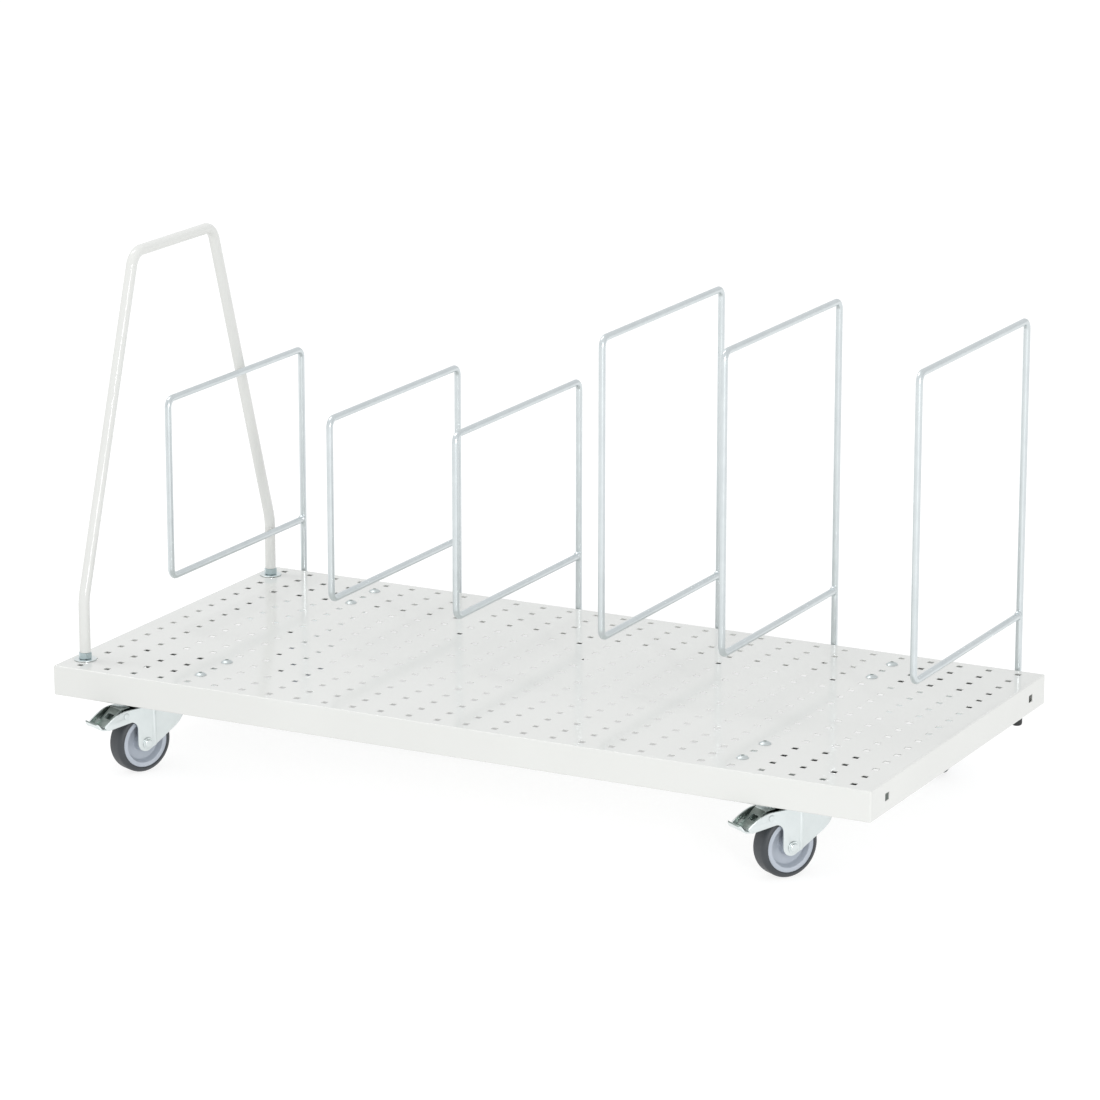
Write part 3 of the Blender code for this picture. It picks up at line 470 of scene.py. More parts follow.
for number, foot_y in enumerate(HANDLE_FEET, 1):
    lock_nut = place_copy(nut, f"handle_lock_nut_{number}", Matrix.Translation((HANDLE_X, foot_y, NUT_LOW.z))
                          @ Matrix.Rotation(NUT_TURN, 4, "Z"))
    fit(lock_nut, BLUE_ZINC, "bright_zinc", "frame", f"handle_nut_{number}")
    disc = place_copy(washer, f"handle_disc_{number}", Matrix.Translation((HANDLE_X, foot_y, WASHER_LOW.z)))
    fit(disc, PRESSED_ZINC, "bright_zinc", "frame", f"handle_washer_{number}")
    under_nut = place_copy(nut, f"handle_weld_nut_{number}",
                           Matrix.Translation((HANDLE_X, foot_y, DECK_TOP - SHEET - WELD_NUT)))
    fit(under_nut, POWDER_COAT, "powder_coat", "frame")
for used in (nut, washer):
    bpy.data.objects.remove(used)


# Castor brackets and their bolts
# Each castor hangs on a Z-shaped zinc plated pressing with upturned sides. Two cup-square bolts through the
# deck's own holes hold its tongue, and its end sits on the deck's lip. The castor's head plate and ball cup
# are under it.
BOLT_RADIUS = 0.004
BOLT_HEAD_RADIUS = 0.0097
BOLT_HEAD = 0.0045
NECK_WIDTH = 0.0094
DIMPLE = 0.0008
DIMPLE_SPAN = 13
DIMPLE_FLOOR = 0.8
BOLT_CHAMFER = 0.0006
BOLT_NUT_FLATS = 0.013
BOLT_LOW, BOLT_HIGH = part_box("deck_bolt_1")
BOLT_SEAT = BOLT_HIGH.z - BOLT_HEAD


def arc(centre, radius, start, end, steps):
    """Points along an arc, ends included, angles in degrees."""
    angles = [math.radians(start + (end - start) * k / steps) for k in range(steps + 1)]
    return [(centre[0] + radius * math.cos(a), centre[1] + radius * math.sin(a)) for a in angles]


def plating_and_painted_shade(piece, finish, is_painted_shade):
    """Give a piece its plating, and a darker zinc as painted shade to the faces that pass the test."""
    piece.data.materials.append(finish)
    piece.data.materials.append(PAINTED_SHADE_ZINC)
    for face in piece.data.polygons:
        face.material_index = int(is_painted_shade(face))


dome_radius = (BOLT_HEAD_RADIUS ** 2 + BOLT_HEAD ** 2) / (2 * BOLT_HEAD)
dome_span = math.degrees(math.asin(BOLT_HEAD_RADIUS / dome_radius))
dome = arc((0.0, BOLT_HEAD - dome_radius), dome_radius, 90 - DIMPLE_SPAN, 90 - dome_span, 8)
dimple = [(0.0, dome[0][1] - DIMPLE), (dome[0][0] * DIMPLE_FLOOR, dome[0][1] - DIMPLE)]
bolt = lathe("bolt", [(r, BOLT_SEAT + h) for r, h in dimple + dome] + [(0.0, BOLT_SEAT)], 32)
half_neck = NECK_WIDTH / 2
combine(bolt, block("neck", (-half_neck, -half_neck, DECK_TOP - SHEET - GAP),
                    (half_neck, half_neck, BOLT_SEAT + LAP)), "UNION")
shank_top = BOLT_SEAT + LAP / 2
shank = lathe("shank", [(0.0, shank_top), (BOLT_RADIUS, shank_top), (BOLT_RADIUS, BOLT_LOW.z + BOLT_CHAMFER),
                        (BOLT_RADIUS - BOLT_CHAMFER, BOLT_LOW.z), (0.0, BOLT_LOW.z)], 20)
combine(bolt, shank, "UNION")
BOLT_ZINC = zinc_plate("zinc plate, satin", "D0D6D6", "C0C7C7", 0.4)
# Painted shade: the dimple in each domed head gets the darker zinc, for the shade in its recess.
plating_and_painted_shade(bolt, BOLT_ZINC, lambda face: face.center.xy.length < dome[0][0] and face.center.z > BOLT_SEAT)
LOCK_LOW, LOCK_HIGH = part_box("deck_bolt_nut_1")
bolt_nut = hex_nut("bolt_nut", BOLT_NUT_FLATS, LOCK_HIGH.z - LOCK_LOW.z, BOLT_RADIUS + GAP)
for number in range(1, 9):
    low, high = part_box(f"deck_bolt_{number}")
    middle = (low + high) / 2
    cup_bolt = place_copy(bolt, f"deck_cup_bolt_{number}", Matrix.Translation((middle.x, middle.y, 0.0)))
    fit(cup_bolt, BOLT_ZINC, "bright_zinc", "frame", f"deck_bolt_{number}")
    tight_nut = place_copy(bolt_nut, f"deck_bolt_lock_nut_{number}",
                           Matrix.Translation((middle.x, middle.y, LOCK_LOW.z)))
    fit(tight_nut, BLUE_ZINC, "bright_zinc", "frame", f"deck_bolt_nut_{number}")
for used in (bolt, bolt_nut):
    bpy.data.objects.remove(used)

JOINTS = {joint["name"]: joint for joint in frame["joints"]}
BRACKET_SHEET = 0.003
BRACKET_BEND = 0.005
BRACKET_STEP = 0.0625
BRACKET_HALF = 0.062
SIDE_FLANGE_END = 0.070
HEAD_PLATE = (0.105, 0.085)
HEAD_CORNER = 0.007
CUP_RADIUS = 0.031
CUP_BORE = 0.020
CUP_ROUND = 0.004
KINGPIN_RADIUS = 0.006
KINGPIN_HEAD_RADIUS = 0.011
KINGPIN_EDGES = (0.0015, 0.002)
SCREW_RADIUS = 0.0065
SCREW_HEAD = 0.0028
SCREW_EDGE = 0.0008
SCREW_SPREAD = (0.042, 0.032)
CROWN = 0.003
EDGE_ROUND = 0.0006
FACING = 0.7
FORK_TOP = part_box("castor_1_fork")[1].z


def stand(piece):
    """Turn a prism upright: its outline's Y becomes Z, and its thickness lies along Y."""
    piece.data.transform(Matrix.Rotation(math.pi / 2, 4, "X"))
    return piece


def bent_sheet(points, radii, thickness, steps):
    """Outline of a folded sheet with round bends. One face follows the points, the other is on the left."""
    path = [Vector(points[0])]
    for before, corner, after, radius in zip(points, points[1:], points[2:], radii):
        back = (Vector(before) - corner).normalized()
        ahead = (Vector(after) - corner).normalized()
        half = back.angle(ahead) / 2
        first = corner + back * (radius / math.tan(half))
        last = corner + ahead * (radius / math.tan(half))
        middle = corner + (back + ahead).normalized() * (radius / math.sin(half))
        turn = (first - middle).angle_signed(last - middle)
        for k in range(steps + 1):
            spoke = (first - middle).copy()
            spoke.rotate(Matrix.Rotation(-turn * k / steps, 2))
            path.append(middle + spoke)
    path.append(Vector(points[-1]))
    normals = []
    for here, there in zip(path, path[1:]):
        along = (there - here).normalized()
        normals.append(Vector((-along.y, along.x)))
    other = [path[0] + normals[0] * thickness]
    for before, after, corner in zip(normals, normals[1:], path[1:]):
        middle = (before + after).normalized()
        other.append(corner + middle * (thickness / middle.dot(before)))
    other.append(path[-1] + normals[-1] * thickness)
    return [tuple(p) for p in path] + [tuple(p) for p in reversed(other)]


def rounded_box(x, y, radius):
    """Outline of a rectangle about the middle with round corners."""
    outline = []
    for quarter, (a, b) in enumerate(((1, 1), (-1, 1), (-1, -1), (1, -1))):
        middle = (a * (x / 2 - radius), b * (y / 2 - radius))
        outline += arc(middle, radius, 90 * quarter, 90 * quarter + 90, 5)
    return outline


def soften(piece, width, angle):
    """Round a piece's edges where they turn by more than an angle in degrees."""
    shape_with(piece, "BEVEL", width=width, segments=2, limit_method="ANGLE", angle_limit=math.radians(angle))


def bracket_pressing(inner, outer, aside, top):
    """The Z of sheet with its head plate, plate screws and ball cup, about the castor's end of the deck."""
    under = DECK_LOW.z + SHEET + GAP
    step = -BRACKET_STEP - BRACKET_SHEET
    path = [(inner, top - BRACKET_SHEET), (step, top - BRACKET_SHEET), (step, under), (outer, under)]
    outline = bent_sheet([Vector(p) for p in path], [BRACKET_BEND] * 2, BRACKET_SHEET, 5)
    made = stand(prism("bracket", outline, -BRACKET_HALF, BRACKET_HALF))
    for side in (-1, 1):
        across = sorted((side * BRACKET_HALF, side * (BRACKET_HALF - BRACKET_SHEET)))
        wall = block("side_flange", (step + BRACKET_SHEET / 2, across[0], under + LAP),
                     (SIDE_FLANGE_END, across[1], top - LAP))
        combine(made, wall, "UNION")
    soften(made, EDGE_ROUND, 60)
    plate_face = under - GAP - BRACKET_SHEET
    head = prism("head", rounded_box(*HEAD_PLATE, HEAD_CORNER), plate_face, under + LAP)
    foot = FORK_TOP + GAP
    bowl = arc((CUP_RADIUS - CUP_ROUND, foot + CUP_ROUND), CUP_ROUND, 0, -90, 5)
    cup = lathe("cup", [(CUP_BORE, under - LAP), (CUP_RADIUS * 0.9, under - LAP)]
                + bowl + [(CUP_BORE, foot)], 64)
    combine(head, cup, "UNION")
    for x in (-SCREW_SPREAD[0], SCREW_SPREAD[0]):
        for y in (-SCREW_SPREAD[1], SCREW_SPREAD[1]):
            screw = lathe("screw", [(0.0, plate_face + LAP), (SCREW_RADIUS, plate_face + LAP),
                                    (SCREW_RADIUS, plate_face - SCREW_EDGE),
                                    (SCREW_RADIUS * 0.6, plate_face - SCREW_HEAD),
                                    (0.0, plate_face - SCREW_HEAD)], 24)
            screw.data.transform(Matrix.Translation((x, y, 0.0)))
            combine(head, screw, "UNION")
    head.data.transform(Matrix.Translation((0.0, aside, 0.0)))
    combine(made, head, "UNION")
    bore = prism("bore", circle(KINGPIN_RADIUS + GAP, 32, (0.0, aside)), foot - 0.01, top)
    combine(made, bore, "DIFFERENCE")

    # Painted shade: the trough's inner walls and upward faces get the darker zinc, for the shade under the
    # deck that shows through its holes.
    def in_painted_trough_shade(face):
        inside = face.normal.y * math.copysign(1.0, face.center.y) < -FACING
        return step < face.center.x < SIDE_FLANGE_END and (inside or face.normal.z > FACING)

    plating_and_painted_shade(made, PRESSED_ZINC, in_painted_trough_shade)
    return made


pin_low, pin_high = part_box("castor_1_kingpin")
pin_seat = DECK_LOW.z + SHEET + 2 * GAP + BRACKET_SHEET
pin_face = KINGPIN_HEAD_RADIUS * 0.7
grip = FORK_TOP - CROWN - GAP
king = lathe("kingpin", [(0.0, pin_high.z), (pin_face, pin_high.z),
                         (KINGPIN_HEAD_RADIUS, pin_high.z - KINGPIN_EDGES[0]),
                         (KINGPIN_HEAD_RADIUS, pin_seat), (KINGPIN_RADIUS, pin_seat),
                         (KINGPIN_RADIUS, grip), (KINGPIN_HEAD_RADIUS, grip),
                         (KINGPIN_HEAD_RADIUS, pin_low.z + KINGPIN_EDGES[1]),
                         (pin_face, pin_low.z), (0.0, pin_low.z)], 40)
for number in range(1, 5):
    low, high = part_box(f"castor_bracket_{number}")
    swivel = Vector(JOINTS[f"castor_{number}_turn"]["pos_m"])
    end = math.copysign(1.0, swivel.x)
    bolt_y = (low.y + high.y) / 2
    reach = sorted((end * (low.x - swivel.x), end * (high.x - swivel.x)))
    pressing = bracket_pressing(*reach, end * (swivel.y - bolt_y), high.z)
    pressing.name = f"castor_{number}_bracket_pressing"
    pressing.data.transform(Matrix.Translation((swivel.x, bolt_y, 0.0))
                            @ Matrix.Rotation(0.0 if end > 0 else math.pi, 4, "Z"))
    fit(pressing, PRESSED_ZINC, "zinc_pressing", "frame", f"castor_bracket_{number}")
    rivet = place_copy(king, f"castor_{number}_king_rivet", Matrix.Translation((swivel.x, swivel.y, 0.0)))
    fit(rivet, PRESSED_ZINC, "bright_zinc", "frame", f"castor_{number}_kingpin")
bpy.data.objects.remove(king)


# Castor wheels
# A grey rubber tyre is moulded on a grey polypropylene rim with a raised ring, a deep web and a hub.
# The axle is a plated bolt with a domed head on a collar.
WHEEL_RADIUS = 0.050
TRAIL = 0.037
TYRE_HALF = 0.017
TYRE_ROUND = 0.0085
RIM_RADIUS = 0.041
RIM_HALF = 0.016
RING_WIDTH = 0.0075
RING_ROUND = 0.0014
WEB_HALF = 0.003
WEB_SWELL = 0.0015
WEB_ROUND = 0.003
WALL_FOOT = 0.0025
HUB_RADIUS = 0.013
HUB_ROUND = 0.0015
FORK_INNER = 0.0205
FORK_WALL = 0.0025
FORK_OUTER = FORK_INNER + FORK_WALL
AXLE_RADIUS = 0.005
AXLE_HEAD_RADIUS = 0.0095
AXLE_HEAD = 0.0035
AXLE_ROUND = 0.0022
COLLAR = 0.0012
COLLAR_EDGE = 0.0005


def castor_place(number):
    """Where a castor stands: the matrix from its own frame, with X along its trail and Y along its axle."""
    swivel = Vector(JOINTS[f"castor_{number}_turn"]["pos_m"])
    axle = Vector(JOINTS[f"castor_{number}_spin"]["pos_m"])
    trail = axle - swivel
    return (Matrix.Translation((swivel.x, swivel.y, 0.0))
            @ Matrix.Rotation(math.atan2(trail.y, trail.x), 4, "Z"))


WHEEL_PLACE = Matrix.Translation((TRAIL, 0.0, WHEEL_RADIUS)) @ Matrix.Rotation(-math.pi / 2, 4, "X")


def mirrored(half):
    """A closed profile from its upper half, mirrored in height."""
    return half + [(r, -h) for r, h in reversed(half)]


seat = RIM_RADIUS + GAP
tyre_edge = [(seat, RIM_HALF), (seat + 0.0006, RIM_HALF + 0.0007), (seat + 0.0016, TYRE_HALF)]
shoulder = arc((WHEEL_RADIUS - TYRE_ROUND, TYRE_HALF - TYRE_ROUND), TYRE_ROUND, 75, 0, 7)
tyre = lathe("tyre", mirrored(tyre_edge + shoulder), 96)
ring = RIM_RADIUS - RING_WIDTH
hub_face = HUB_RADIUS - 2 * HUB_ROUND
hub_end = FORK_INNER - GAP
web_edge = ring - WALL_FOOT - WEB_ROUND
rim_half = [(AXLE_RADIUS + GAP, hub_end), (hub_face, hub_end)]
rim_half += arc((hub_face, hub_end - HUB_ROUND), HUB_ROUND, 80, 10, 3)
rim_half += [(HUB_RADIUS - 0.001, RIM_HALF), (HUB_RADIUS + 0.001, WEB_HALF + WEB_SWELL)]
rim_half += [(HUB_RADIUS + 0.0022, WEB_HALF), (web_edge, WEB_HALF + WEB_SWELL)]
rim_half += arc((web_edge, WEB_HALF + WEB_SWELL + WEB_ROUND), WEB_ROUND, -90, 0, 4)[1:]
rim_half += [(ring - 0.0004, RIM_HALF - 0.0016)]
rim_half += arc((ring + 0.0012, RIM_HALF - RING_ROUND), RING_ROUND, 160, 90, 4)
rim_half += [(RIM_RADIUS - 0.001, RIM_HALF), (RIM_RADIUS, RIM_HALF - 0.0006)]
rim = lathe("rim", mirrored(rim_half), 96)
collar = FORK_OUTER + GAP
head = [(0.0, AXLE_HEAD)] + arc((AXLE_HEAD_RADIUS * 0.52, AXLE_HEAD - AXLE_ROUND), AXLE_ROUND, 90, 0, 5)
head = [(r, collar + h) for r, h in head]
head += [(head[-1][0], collar + COLLAR), (AXLE_HEAD_RADIUS - COLLAR_EDGE, collar + COLLAR),
         (AXLE_HEAD_RADIUS, collar + COLLAR - COLLAR_EDGE), (AXLE_HEAD_RADIUS, collar), (AXLE_RADIUS, collar)]
axle = lathe("axle", mirrored(head), 48)
FLOW_CLOUD = 0.03


def moulded_plastic(name, light, dark, roughness, grain):
    """Moulded plastic or rubber: an even body colour with a faint flow cloud and a fine matt grain."""
    made = bpy.data.materials.new(name)
    made.use_nodes = True
    tree = made.node_tree
    shader = tree.nodes["Principled BSDF"]
    place = add(tree, "ShaderNodeTexCoord", {}, {}).outputs["Object"]
    flow = add(tree, "ShaderNodeTexNoise", {}, {"Vector": place, "Scale": 1 / FLOW_CLOUD, "Detail": 3.0})
    shade = add(tree, "ShaderNodeMixRGB", {}, {"Fac": flow.outputs["Fac"], "Color1": linear(dark),
                                               "Color2": linear(light)})
    texture = add(tree, "ShaderNodeTexNoise", {}, {"Vector": place, "Scale": 1 / grain, "Detail": 3.0})
    bump = add(tree, "ShaderNodeBump", {}, {"Height": texture.outputs["Fac"], "Strength": 0.1,
                                            "Distance": 0.0003})
    gloss = add(tree, "ShaderNodeMapRange", {}, {"Value": flow.outputs["Fac"], "To Min": roughness - 0.05,
                                                 "To Max": roughness + 0.05})
    tree.links.new(shade.outputs["Color"], shader.inputs["Base Color"])
    tree.links.new(gloss.outputs["Result"], shader.inputs["Roughness"])
    tree.links.new(bump.outputs["Normal"], shader.inputs["Normal"])
    return made


TYRE_RUBBER = moulded_plastic("thermoplastic rubber, dark grey", "3E4246", "303438", 0.5, 0.0012)
RIM_PLASTIC = moulded_plastic("polypropylene, mid grey", "B4BBC4", "A6ADB7", 0.34, 0.0015)
for number in range(1, 5):
    where = castor_place(number)
    tread = place_copy(tyre, f"castor_{number}_rubber_tyre", where @ WHEEL_PLACE)
    fit(tread, TYRE_RUBBER, "tyre_rubber", f"castor_{number}_wheel", f"castor_{number}_tyre")
    moulding = place_copy(rim, f"castor_{number}_moulded_rim", where @ WHEEL_PLACE)
    fit(moulding, RIM_PLASTIC, "rim_plastic", f"castor_{number}_wheel", f"castor_{number}_rim")
    pin = place_copy(axle, f"castor_{number}_axle_bolt", where @ WHEEL_PLACE)
    fit(pin, PRESSED_ZINC, "bright_zinc", f"castor_{number}_swivel", f"castor_{number}_axle")
for used in (tyre, rim, axle):
    bpy.data.objects.remove(used)


# Castor forks
# Each fork is pressed from 2.5 mm sheet and zinc plated: two cheeks with an upright bead, a rounded nose
# and a flat crown. The two front forks have long arms that carry a brake pedal between them.
FORK_LOBE = 0.0155
FORK_LOBE_RISE = 0.003
FORK_CREASE = 0.014
FORK_TAPER = math.radians(5)
FORK_NOSE_START = 0.045
FORK_NOSE = 0.082
FORK_CHIN_RISE = 0.033
FORK_BACK = 0.0185
ARCH_RADIUS = 0.013
ARCH_RISE = 0.027
ARM_REACH = 0.081
ARM_RISE = 0.0345
ARM_DEPTH = 0.0075
ARM_SLOPE = 0.041
ARM_CURVE = 1.7
CROWN_BACK = 0.012
CROWN_LAP = 0.0005
BEAD_HALF = 0.0027
BEAD_RISE = 0.0011
PIN_RADIUS = 0.003
PIVOT_REACH = 0.040
PIVOT_RISE = 0.052


def fork_plan(inset, bead):
    """Half of the fork's plan, from its back to its nose, drawn in by the inset."""
    side = FORK_OUTER - inset
    nose_side = side - (FORK_NOSE_START - FORK_CREASE) * math.tan(FORK_TAPER)
    length = FORK_NOSE - FORK_NOSE_START - inset
    crease = TRAIL - FORK_CREASE
    half = [(TRAIL + ARM_REACH + FORK_WALL, side)]
    half += [(crease + BEAD_HALF * math.cos(a), side + bead * math.sin(a))
             for a in [math.pi * k / 6 for k in range(7)]] if bead else [(crease, side)]
    half += [(TRAIL - FORK_NOSE_START - length * math.sin(a), nose_side * math.cos(a))
             for a in [math.radians(9 * k) for k in range(11)]]
    return half


def both_halves(half):
    """A whole outline from a half that ends on the middle line."""
    return half + [(x, -y) for x, y in reversed(half[:-1])]


def fork_side(braked):
    """The cheek's outline along the trail, from the axle up to the crown."""
    top = FORK_TOP - CROWN / 2
    nose = TRAIL - FORK_NOSE - FORK_WALL
    outline = [(nose, top), (nose, WHEEL_RADIUS + FORK_CHIN_RISE)]
    outline += arc((TRAIL + FORK_BACK - FORK_LOBE, WHEEL_RADIUS + FORK_LOBE_RISE), FORK_LOBE, 235, 360, 14)
    if braked:
        outline += arc((TRAIL + FORK_BACK + ARCH_RADIUS, WHEEL_RADIUS + ARCH_RISE), ARCH_RADIUS, 180, 90, 10)
        tip = TRAIL + ARM_REACH
        tip_top = WHEEL_RADIUS + ARM_RISE + ARM_DEPTH
        outline += arc((tip - ARM_DEPTH, tip_top), ARM_DEPTH, -90, 0, 6)
        outline += [(tip - ARM_SLOPE * k / 12, top - (top - tip_top) * (1 - k / 12) ** ARM_CURVE)
                    for k in range(1, 13)]
    else:
        outline.append((TRAIL + FORK_BACK, top))
    return outline


def pressed_fork(braked):
    """A fork in its own frame: beaded walls cut to the cheek's outline, under a flat crown."""
    walls = prism("fork", both_halves(fork_plan(0.0, BEAD_RISE)), 0.0, FORK_TOP + SHEET)
    room = both_halves([(TRAIL + ARM_REACH + 2 * FORK_WALL, FORK_INNER)] + fork_plan(FORK_WALL, 0.0)[1:])
    combine(walls, prism("room", room, -SHEET, FORK_TOP + 2 * SHEET), "DIFFERENCE")
    cheek = stand(prism("cheek", fork_side(braked), -2 * FORK_OUTER, 2 * FORK_OUTER))
    combine(walls, cheek, "INTERSECT")
    crown = [(TRAIL + CROWN_BACK, FORK_OUTER + CROWN_LAP)] + fork_plan(-CROWN_LAP, 0.0)[1:]
    combine(walls, prism("crown", both_halves(crown), FORK_TOP - CROWN, FORK_TOP), "UNION")
    pin_hole = prism("pin_hole", circle(KINGPIN_RADIUS + GAP, 24), FORK_TOP - 2 * CROWN, FORK_TOP + CROWN)
    combine(walls, pin_hole, "DIFFERENCE")
    holes = [(TRAIL, WHEEL_RADIUS, AXLE_RADIUS + GAP)]
    if braked:
        holes.append((TRAIL + PIVOT_REACH, WHEEL_RADIUS + PIVOT_RISE, PIN_RADIUS + GAP))
    for x, z, radius in holes:
        drill = stand(prism("drill", circle(radius, 24, (x, z)), -2 * FORK_OUTER, 2 * FORK_OUTER))
        combine(walls, drill, "DIFFERENCE")
    soften(walls, EDGE_ROUND, 40)

    # Painted shade: the cheeks' inner faces and the crown's underside get the darker zinc, for the shade
    # inside the fork.
    def in_painted_fork_shade(face):
        under_crown = face.normal.z < -0.9 and face.center.z > FORK_TOP - 2 * CROWN
        return under_crown or face.normal.y * math.copysign(1.0, face.center.y) < -FACING

    plating_and_painted_shade(walls, PRESSED_ZINC, in_painted_fork_shade)
    return walls


for braked, numbers in ((True, (1, 2)), (False, (3, 4))):
    fork = pressed_fork(braked)
    for number in numbers:
        pressing = place_copy(fork, f"castor_{number}_pressed_fork", castor_place(number))
        fit(pressing, PRESSED_ZINC, "zinc_pressing", f"castor_{number}_swivel", f"castor_{number}_fork")
    bpy.data.objects.remove(fork)


# Brake pedals
# A bent steel pedal between the arms of each front fork: a slotted pad, an upturned lip for the toe and a
# shoe over the tyre, on a riveted pin. It is zinc plated; its pad and the faces behind its slot get a darker
# zinc as painted shade.
PAD_LOW = Vector((0.074, 0.0365))
PAD_HIGH = Vector((0.043, 0.0635))
LIP_KNEE = Vector((0.011, 0.0015))
LIP_STEP = Vector((0.0179, 0.0105))
PEDAL_BENDS = (0.006, 0.004, 0.009)
PAD_TOP = 0.0145
PEDAL_SHEET = 0.0025
PEDAL_HALF = FORK_INNER - 0.0005
PAD_HALF = 0.0145
LIP_SHOULDER = 0.005
LIP_ROUND = 0.010
BOSS_RADIUS = 0.0065
PIN_HEAD_RADIUS = 0.005
PIN_HEAD = 0.0006
SHOE_LENGTH = 0.0162
SHOE_HALF = 0.0025
SHOE_LEAN = 0.003
SLOT_HALF = (0.0055, 0.0085)
SLOT_SHARE = 0.52
LEVER_SETBACK = 0.006
LEVER_HALF = 0.008
LEVER_NOSE = (0.006, 0.003)
LEVER_ROOT = 0.004
WEB_THICKNESS = 0.004
PEDAL_EDGE = 0.0005
PIVOT = Vector((PIVOT_REACH, PIVOT_RISE))


def brake_pedal():
    """A pedal about its pin: the bent pad and lip on a boss, with its lever, shoe and riveted pin."""
    low = PAD_LOW - PIVOT
    high = PAD_HIGH - PIVOT
    lip = low + LIP_STEP
    end = high - Vector((PAD_TOP, 0.0))
    knee = low + LIP_KNEE
    outline = bent_sheet([lip, knee, low, high, end], PEDAL_BENDS, PEDAL_SHEET, 6)
    pedal = stand(prism("pedal", outline, -PEDAL_HALF, PEDAL_HALF))
    edge = PEDAL_HALF + GAP
    tip = lip.x + PEDAL_SHEET
    neck = low.x - LIP_SHOULDER
    plan = [(low.x, edge), (neck, PAD_HALF), (end.x - GAP, PAD_HALF), (end.x - GAP, -PAD_HALF),
            (neck, -PAD_HALF), (low.x, -edge)]
    plan += arc((tip - LIP_ROUND, LIP_ROUND - edge), LIP_ROUND, -90, 0, 8)
    plan += arc((tip - LIP_ROUND, edge - LIP_ROUND), LIP_ROUND, 0, 90, 8)
    combine(pedal, prism("plan", plan, -PIVOT_RISE, PIVOT_RISE), "INTERSECT")
    slope = (high - low).normalized()
    inward = Vector((-slope.y, slope.x))
    foot = inward * (low.dot(inward) + PEDAL_SHEET / 2)
    across = slope * WEB_THICKNESS / 2
    web = [tuple(p) for p in (across, -across, foot - across, foot + across)]
    middle = low + (high - low) * SLOT_SHARE
    ledge = middle + inward * LEVER_SETBACK
    lever = [tuple(p) for p in (across, ledge + slope * LEVER_HALF, ledge - slope * LEVER_HALF,
                                ledge - slope * LEVER_NOSE[0] + inward * LEVER_NOSE[1], inward * LEVER_ROOT)]
    shoe = [(-SHOE_HALF, 0.0), (SHOE_LEAN - SHOE_HALF, -SHOE_LENGTH), (SHOE_LEAN + SHOE_HALF, -SHOE_LENGTH),
            (SHOE_HALF, 0.0)]
    boss = stand(prism("boss", circle(BOSS_RADIUS, 32), -PEDAL_HALF * 0.9, PEDAL_HALF * 0.9))
    for name, outline, share in (("web", web, 0.8), ("lever", lever, 0.75), ("shoe", shoe, 0.7)):
        combine(boss, stand(prism(name, outline, -PEDAL_HALF * share, PEDAL_HALF * share)), "UNION")
    combine(pedal, boss, "UNION")
    grip = FORK_OUTER + GAP
    pin = lathe("pin", mirrored([(0.0, grip + PIN_HEAD), (PIN_HEAD_RADIUS * 0.6, grip + PIN_HEAD),
                                 (PIN_HEAD_RADIUS, grip + PIN_HEAD * 0.4), (PIN_HEAD_RADIUS, grip),
                                 (PIN_RADIUS, grip)]), 24)
    pin.data.transform(Matrix.Rotation(-math.pi / 2, 4, "X"))
    combine(pedal, pin, "UNION")
    corners = [(x * SLOT_HALF[0], y * SLOT_HALF[1]) for x, y in ((-1, -1), (1, -1), (1, 1), (-1, 1))]
    slot = prism("slot", corners, -4 * PEDAL_SHEET, 4 * PEDAL_SHEET)
    slot.data.transform(Matrix.Translation((middle.x, 0.0, middle.y))
                        @ Matrix.Rotation(math.atan2(slope.y, -slope.x), 4, "Y"))
    combine(pedal, slot, "DIFFERENCE")
    soften(pedal, PEDAL_EDGE, 40)

    # Painted shade: the pad's faces and the faces behind its slot get the darker zinc, for the shade between
    # the fork's arms.
    def has_painted_shade(face):
        place = Vector((face.center.x, face.center.z))
        on_pad = abs(face.normal.x * inward.x + face.normal.z * inward.y) > 0.95
        behind_pad = (place - low).dot(inward) > PEDAL_SHEET and abs(face.center.y) < PEDAL_HALF
        return (on_pad or behind_pad) and low.y < place.y < high.y - PEDAL_SHEET

    plating_and_painted_shade(pedal, PRESSED_ZINC, has_painted_shade)
    return pedal


pedal = brake_pedal()
for number in (1, 2):
    bent = place_copy(pedal, f"castor_{number}_bent_pedal", castor_place(number) @ Matrix.Translation(
        (TRAIL + PIVOT_REACH, 0.0, WHEEL_RADIUS + PIVOT_RISE)))
    fit(bent, PRESSED_ZINC, "zinc_pressing", f"castor_{number}_pedal", f"castor_{number}_brake_pedal")
bpy.data.objects.remove(pedal)


# Divider sockets
# Moulded black nylon sleeves on the rear flange, one for each divider, closed below and held by two
# barbed pegs in square holes of the flange.
WIRE_RADIUS = 0.0055
SOCKET_WALL = 0.003
SOCKET_BORE = WIRE_RADIUS + GAP
SOCKET_RADIUS = SOCKET_BORE + SOCKET_WALL
SOCKET_ROUND = 0.004
SOCKET_FLOOR = 0.004
SOCKET_EDGE = 0.0008
SOCKET_MOUTH = 0.001
RIB_HALF = 0.0012
SOCKET_PLATE = (0.050, 0.034)
SOCKET_PLATE_DROP = 0.026
PEG_WIDTH = 0.0094
BARB_LIP = 0.001
BARB = 0.0025
SOCKET_LOW, SOCKET_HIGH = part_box("divider_socket_1")


